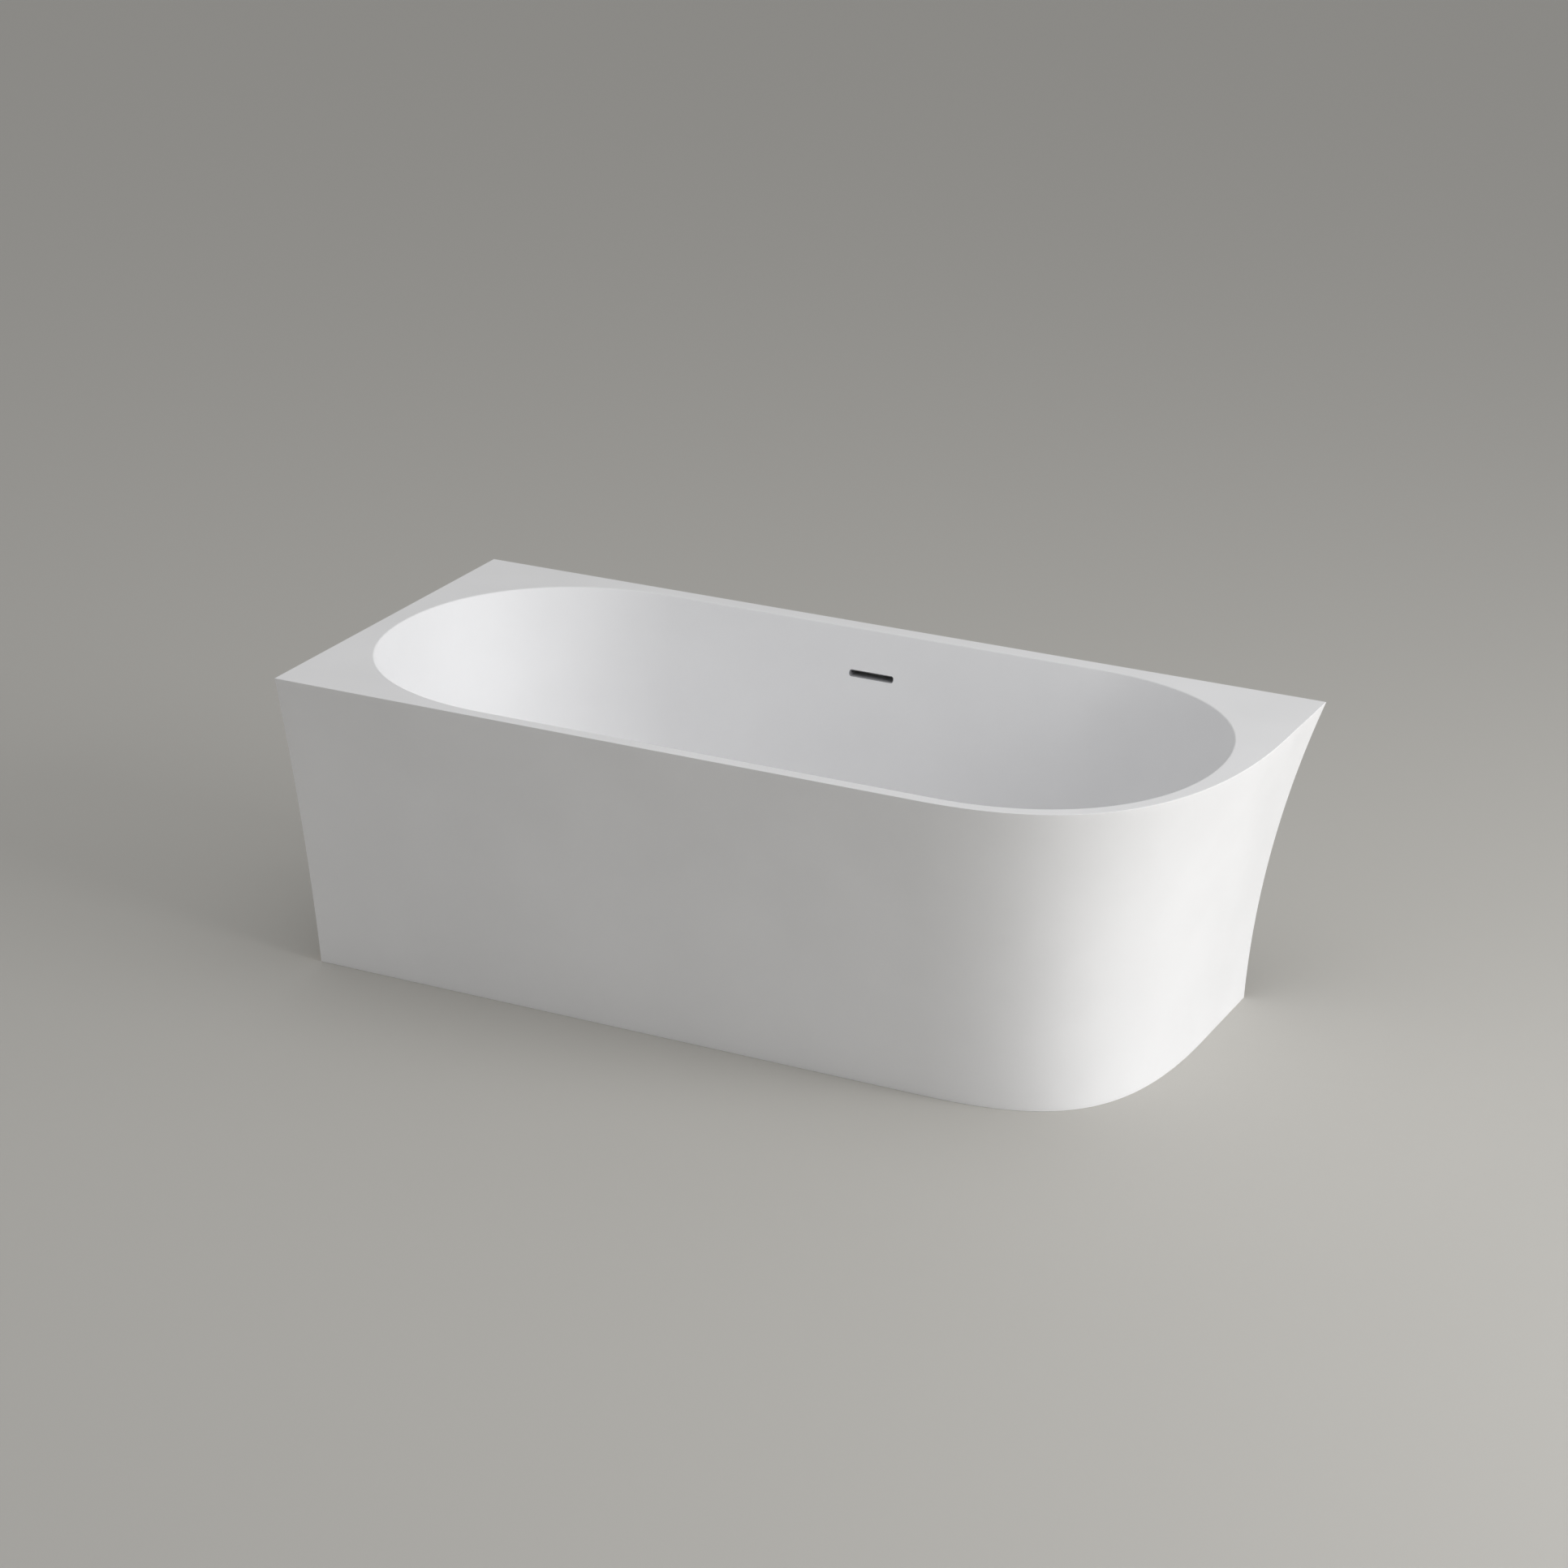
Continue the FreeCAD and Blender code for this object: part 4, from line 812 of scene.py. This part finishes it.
def threadedRod(bm, x, y, low, high, steps=24):
    # rows that follow the helix, two at the crest and one in the root for each turn, between two flat ends
    pitch, crest, root = foot["pitch"], foot["stem"], foot["stem"] - foot["threadDepth"]
    start = low + foot["flatEnd"]

    def helixRow(turn, phase, radius):
        angles = [2 * math.pi * i / steps for i in range(steps)]
        return [Vector((x + radius * math.cos(a), y + radius * math.sin(a),
                        start + pitch * (turn + phase + a / (2 * math.pi)))) for a in angles]

    turns = int((high - low) / pitch) - 2
    rows = [ringVerts(bm, helixRow(turn, phase, radius)) for turn in range(turns)
            for phase, radius in ((0.0, crest), (foot["crestShare"], crest), (foot["rootShare"], root))]
    circle = [(x + root * math.cos(2 * math.pi * i / steps), y + root * math.sin(2 * math.pi * i / steps))
              for i in range(steps)]
    bottom, top = [ringVerts(bm, [Vector((px, py, z)) for px, py in circle]) for z in (low, high)]
    for a, b in zip([bottom] + rows, rows + [top]):
        bridge(bm, a, b, closed=False)
    for k in range(len(rows) - 4):
        bm.faces.new((rows[k][-1], rows[k + 3][0], rows[k + 4][0], rows[k + 1][-1]))
    bm.faces.new((bottom[-1], bottom[0], rows[0][0], rows[1][0], rows[2][0], rows[3][0], rows[0][-1]))
    bm.faces.new((top[-1], top[0], rows[-1][0], rows[-4][-1], rows[-3][-1], rows[-2][-1], rows[-1][-1]))
    bm.faces.new(bottom)
    bm.faces.new(top)


def makeStem(place, x, y):
    bm = bmesh.new()
    spin(bm, [(foot["stem"] - 0.6, foot["socketFloor"]), (foot["stem"], foot["socketFloor"] + 0.6),
              (foot["stem"], foot["hexLow"] + 0.4)], (x, y, 0), (0, 0, 1), steps=48)
    hexNut(bm, foot["hexFlats"], (x, y, foot["hexLow"]), (0, 0, 1), foot["hexRise"])
    threadedRod(bm, x, y, foot["hexLow"] + foot["hexRise"] - 0.2, foot["stemTop"])
    return finishPiece("threaded_stem_" + place, bm, zincSteel)


def makePad(place, x, y):
    bm = bmesh.new()
    edge, high = foot["padEdge"], foot["padHeight"]
    outer, hub, socket = foot["padRadius"], foot["hub"], foot["socket"]
    pocket = outer - foot["solePocket"]
    profile = easedProfile([(socket, foot["socketFloor"], 0), (socket, high, 0.5), (hub, high, 1.0),
                            (hub + 0.6, edge, 1.2), (outer, edge, 1.3), (outer, 0, 0.8), (pocket, 0, 0.4),
                            (pocket - 0.6, 0.6, 0.3)])
    spin(bm, profile, (x, y, 0), (0, 0, 1), steps=72)
    for k in range(foot["webs"]):
        turn = Matrix.Rotation(2 * math.pi * (k + 0.5) / foot["webs"], 3, "Z")
        half = foot["webThickness"] / 2
        side = [(hub - 1, edge - 1), (hub - 1, high - 1.5), (outer - 3, edge + 0.5), (outer - 3, edge - 1)]
        faces = [ringVerts(bm, [turn @ Vector((r, offset, z)) + Vector((x, y, 0)) for r, z in side])
                 for offset in (-half, half)]
        bridge(bm, faces[0], faces[1])
        bm.faces.new(faces[0])
        bm.faces.new(faces[1])
    return finishPiece("moulded_pad_" + place, bm, rubber)


def weldBead(grow, rise):
    # one row of the weld round the nut, scalloped as it was laid
    return lambda turn: (hexRadius(turn, foot["weldFlats"]) + grow * (1 + 0.25 * math.sin(23 * turn)), rise)


weldNuts, lockNuts = bmesh.new(), bmesh.new()
for place in ("left_front", "left_back", "right_front", "right_back"):
    x, y = footPlace(place)
    settle(makeStem(place, x, y), "foot_stem_" + place, "zinc_steel", "foot_stem_" + place)
    settle(makePad(place, x, y), "foot_pad_" + place, "black_rubber", "foot_pad_" + place)
    rail = foot["railBottom"]
    hexNut(weldNuts, foot["weldFlats"], (x, y, rail), (0, 0, -1), foot["weldRise"], foot["nutBore"])
    spin(weldNuts, [weldBead(-0.5, 0.0), weldBead(1.8, 0.0), weldBead(1.2, 1.1), weldBead(-0.5, 2.2)],
         (x, y, rail), (0, 0, -1), steps=144, ring=True)
    hexNut(lockNuts, foot["lockFlats"], (x, y, rail - foot["weldRise"]), (0, 0, -1), foot["lockRise"], foot["nutBore"])
settle(finishPiece("welded_nuts", weldNuts, zincSteel), "bath", "zinc_steel", "foot_weld_nuts")
settle(finishPiece("chamfered_lock_nuts", lockNuts, zincSteel), "bath", "zinc_steel", "foot_lock_nuts")
print("plug and feet made")

# Small screws, as groups of the same kind: radius and rise of their heads
screws = {"board": (5.0, 2.6), "bracket": (4.6, 2.4), "box": (4.0, 2.2), "lip": (4.0, 2.0),
          "boltFlats": 13.0, "boltRise": 5.3, "washer": 9.0, "washerRise": 1.5, "washerBore": 3.3,
          "boardCount": 5, "boardFromRail": 60.0, "plateRises": (17.0, 37.0), "plateReach": 38.0,
          "lipXs": (-480.0, 430.0), "lipHalfSpacing": 25.0, "lipScrewRise": 14.0}
longRailOut, longRailBottom, plate, battenThickness = 120.0, 122.0, 3.0, 18.0
battenFaceY = -halfWidth + form["flareFront"] + form["apronWall"] + battenThickness
leftRailX, rightRailX = footPlace("left_front")[0], footPlace("right_front")[0]


def screwGroup(name, places, radius, rise):
    # pan heads at their places, each with its axis out of the surface
    bm = bmesh.new()
    for place, axis in places:
        panHead(bm, place, axis, radius, rise)
    settle(finishPiece(name, bm, zincSteel), "bath", "zinc_steel")


firstX, lastX = leftRailX + screws["boardFromRail"], rightRailX - screws["boardFromRail"]
boardXs = [firstX + (lastX - firstX) * i / (screws["boardCount"] - 1) for i in range(screws["boardCount"])]
screwGroup("board_screws", [((x, side * longRailOut, longRailBottom), (0, 0, -1)) for x in boardXs for side in (-1, 1)],
           *screws["board"])
bracketPlaces = []
for x in (leftRailX, rightRailX):
    bracketPlaces += [((x, battenFaceY + plate, z), (0, 1, 0)) for z in screws["plateRises"]]
    bracketPlaces.append(((x, battenFaceY + screws["plateReach"], foot["railBottom"] - plate), (0, 0, -1)))
screwGroup("bracket_screws", bracketPlaces, *screws["bracket"])
earX = overflow["boxLength"] / 2 + overflow["screwFromEnd"]
screwGroup("overflow_screws", [((form["slotX"] + side * earX, boxFront + overflow["earThickness"], slotZ), (0, 1, 0))
                               for side in (-1, 1)], *screws["box"])
lipZ = rimHeight - form["deck"] - form["lipDrop"] + screws["lipScrewRise"]
tab, offsets = form["lip"] + plate, (-screws["lipHalfSpacing"], screws["lipHalfSpacing"])
lipPlaces = [((x + offset, halfWidth - tab, lipZ), (0, -1, 0)) for x in screws["lipXs"] for offset in offsets]
lipPlaces += [((-halfLength + tab, offset, lipZ), (1, 0, 0)) for offset in offsets]
screwGroup("lip_screws", lipPlaces, *screws["lip"])

frameBolts = bmesh.new()
washerRow = [(screws["washerBore"], 0, 0), (screws["washer"], 0, 0.2), (screws["washer"], screws["washerRise"], 0.4),
             (screws["washerBore"], screws["washerRise"], 0)]
for x in (leftRailX, rightRailX):
    for side in (-1, 1):
        spot = Vector((x, side * longRailOut, foot["railBottom"]))
        spin(frameBolts, easedProfile(washerRow), spot, (0, 0, -1), steps=48, ring=True)
        spot -= Vector((0, 0, screws["washerRise"]))
        hexNut(frameBolts, screws["boltFlats"], spot, (0, 0, -1), screws["boltRise"])
settle(finishPiece("frame_bolts", frameBolts, zincSteel), "bath", "zinc_steel")
print("screws and bolts made")

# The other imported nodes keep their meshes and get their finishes
finishes = {
    boardPlywood: ["base_board"],
    battenPlywood: ["plinth_batten"],
    zincSteel: ["long_rail_front", "long_rail_back", "cross_rail_left", "cross_rail_right", "apron_brackets",
                "wall_brackets"],
    blackNylon: ["rail_end_caps"],
    polypropylene: ["waste_body", "overflow_pipe", "outlet_pipe", "edge_rib_left", "edge_rib_right"],
    chrome: ["waste_flange", "plug_plunger"],
    brass: ["click_cartridge"],
    rubber: ["waste_top_gasket", "waste_bottom_gasket", "plug_seal", "overflow_gasket"],
}
for material, names in finishes.items():
    for name in names:
        nodes[name].data.materials.clear()
        nodes[name].data.materials.append(material)
print("packed nodes finished")

# Camera, at the photograph's viewing angle
view = {"focal": 4925.0, "image": 1932.0, "sensor": 36.0, "yaw": 0.4503, "pitch": 0.3711, "roll": 0.0157,
        "place": (2886.9, -6027.6, 3021.1)}
forward = Vector((-math.sin(view["yaw"]) * math.cos(view["pitch"]),
                  math.cos(view["yaw"]) * math.cos(view["pitch"]), -math.sin(view["pitch"])))
right = Vector((math.cos(view["yaw"]), math.sin(view["yaw"]), 0.0))
upward = right.cross(forward)
rolledRight = right * math.cos(view["roll"]) + upward * math.sin(view["roll"])
rolledUp = upward * math.cos(view["roll"]) - right * math.sin(view["roll"])
lens = bpy.data.cameras.new("camera")
lens.sensor_width = view["sensor"]
lens.lens = view["focal"] / view["image"] * view["sensor"]
camera = bpy.data.objects.new("camera", lens)
turn = Matrix((rolledRight, rolledUp, -forward)).transposed().to_4x4()
camera.matrix_world = Matrix.Translation(Vector(view["place"]) * mm) @ turn
scene.collection.objects.link(camera)
scene.camera = camera

# Floor, lamps and surroundings
studio = {
    "floorColour": "#c2c0bb", "skyColour": "#d8d8d8", "skyStrength": 0.61,
    "farFloor": "#898885", "upperSweep": "#c4c3c0",
    "sweepTop": 0.45, "floorSize": 60, "floorRoughness": 0.7,
    "key": {"place": (5200, -700, 2500), "aim": (200, 0, 300), "size": (3000, 3000), "power": 120},
    "side": {"place": (5200, 700, 1600), "aim": (200, 0, 300), "size": (2400, 2400), "power": 64},
    "top": {"place": (-300, -700, 4600), "aim": (0, 0, 300), "size": (4200, 3200), "power": 28},
}


def paleFloor(tree, place):
    # a plain floor, without a texture
    return ({"Base Color": hexToLinear(studio["floorColour"]), "Roughness": studio["floorRoughness"]},)


bpy.ops.mesh.primitive_plane_add(size=studio["floorSize"])
floor = bpy.context.object
floor.name = "floor"
floor.data.materials.append(newMaterial("pale_floor", paleFloor))

world = bpy.data.worlds.new("soft_studio")
scene.world = world
world.use_nodes = True
world.node_tree.nodes.clear()
tree = world.node_tree
plain = addNode(tree, "Background", {"Color": hexToLinear(studio["skyColour"]), "Strength": studio["skyStrength"]})
# what is seen of it, directly or in a reflection, goes on from the far floor's tone and gets paler upwards
direction = addNode(tree, "TexCoord")
parts = addNode(tree, "SeparateXYZ", {}, {"Vector": (direction, "Generated")})
sweep = addNode(tree, "ValToRGB",
                {"stop0": (0.0, studio["farFloor"]), "stop1": (studio["sweepTop"], studio["upperSweep"])},
                {"Fac": (parts, "Z")})
backdrop = addNode(tree, "Background", {}, {"Color": (sweep, "Color")})
rays = addNode(tree, "LightPath")
direct = addNode(tree, "Math", {"operation": "MAXIMUM"},
                 {0: (rays, "Is Camera Ray"), 1: (rays, "Is Transmission Ray")})
seen = addNode(tree, "Math", {"operation": "MAXIMUM"}, {0: (direct, 0), 1: (rays, "Is Glossy Ray")})
surroundings = addNode(tree, "MixShader", {}, {0: (seen, 0), 1: (plain, "Background"), 2: (backdrop, "Background")})
addNode(tree, "OutputWorld", {}, {"Surface": (surroundings, "Shader")})


def addSoftbox(name, lamp):
    data = bpy.data.lights.new(name, "AREA")
    data.shape = "RECTANGLE"
    data.size, data.size_y = lamp["size"][0] * mm, lamp["size"][1] * mm
    data.energy = lamp["power"]
    obj = bpy.data.objects.new(name, data)
    place, aim = Vector(lamp["place"]) * mm, Vector(lamp["aim"]) * mm
    obj.matrix_world = Matrix.Translation(place) @ (place - aim).to_track_quat("Z", "Y").to_matrix().to_4x4()
    scene.collection.objects.link(obj)


for name in ("key", "side", "top"):
    addSoftbox(name + "_softbox", studio[name])
scene.view_settings.view_transform = "Standard"
print("camera and studio ready")
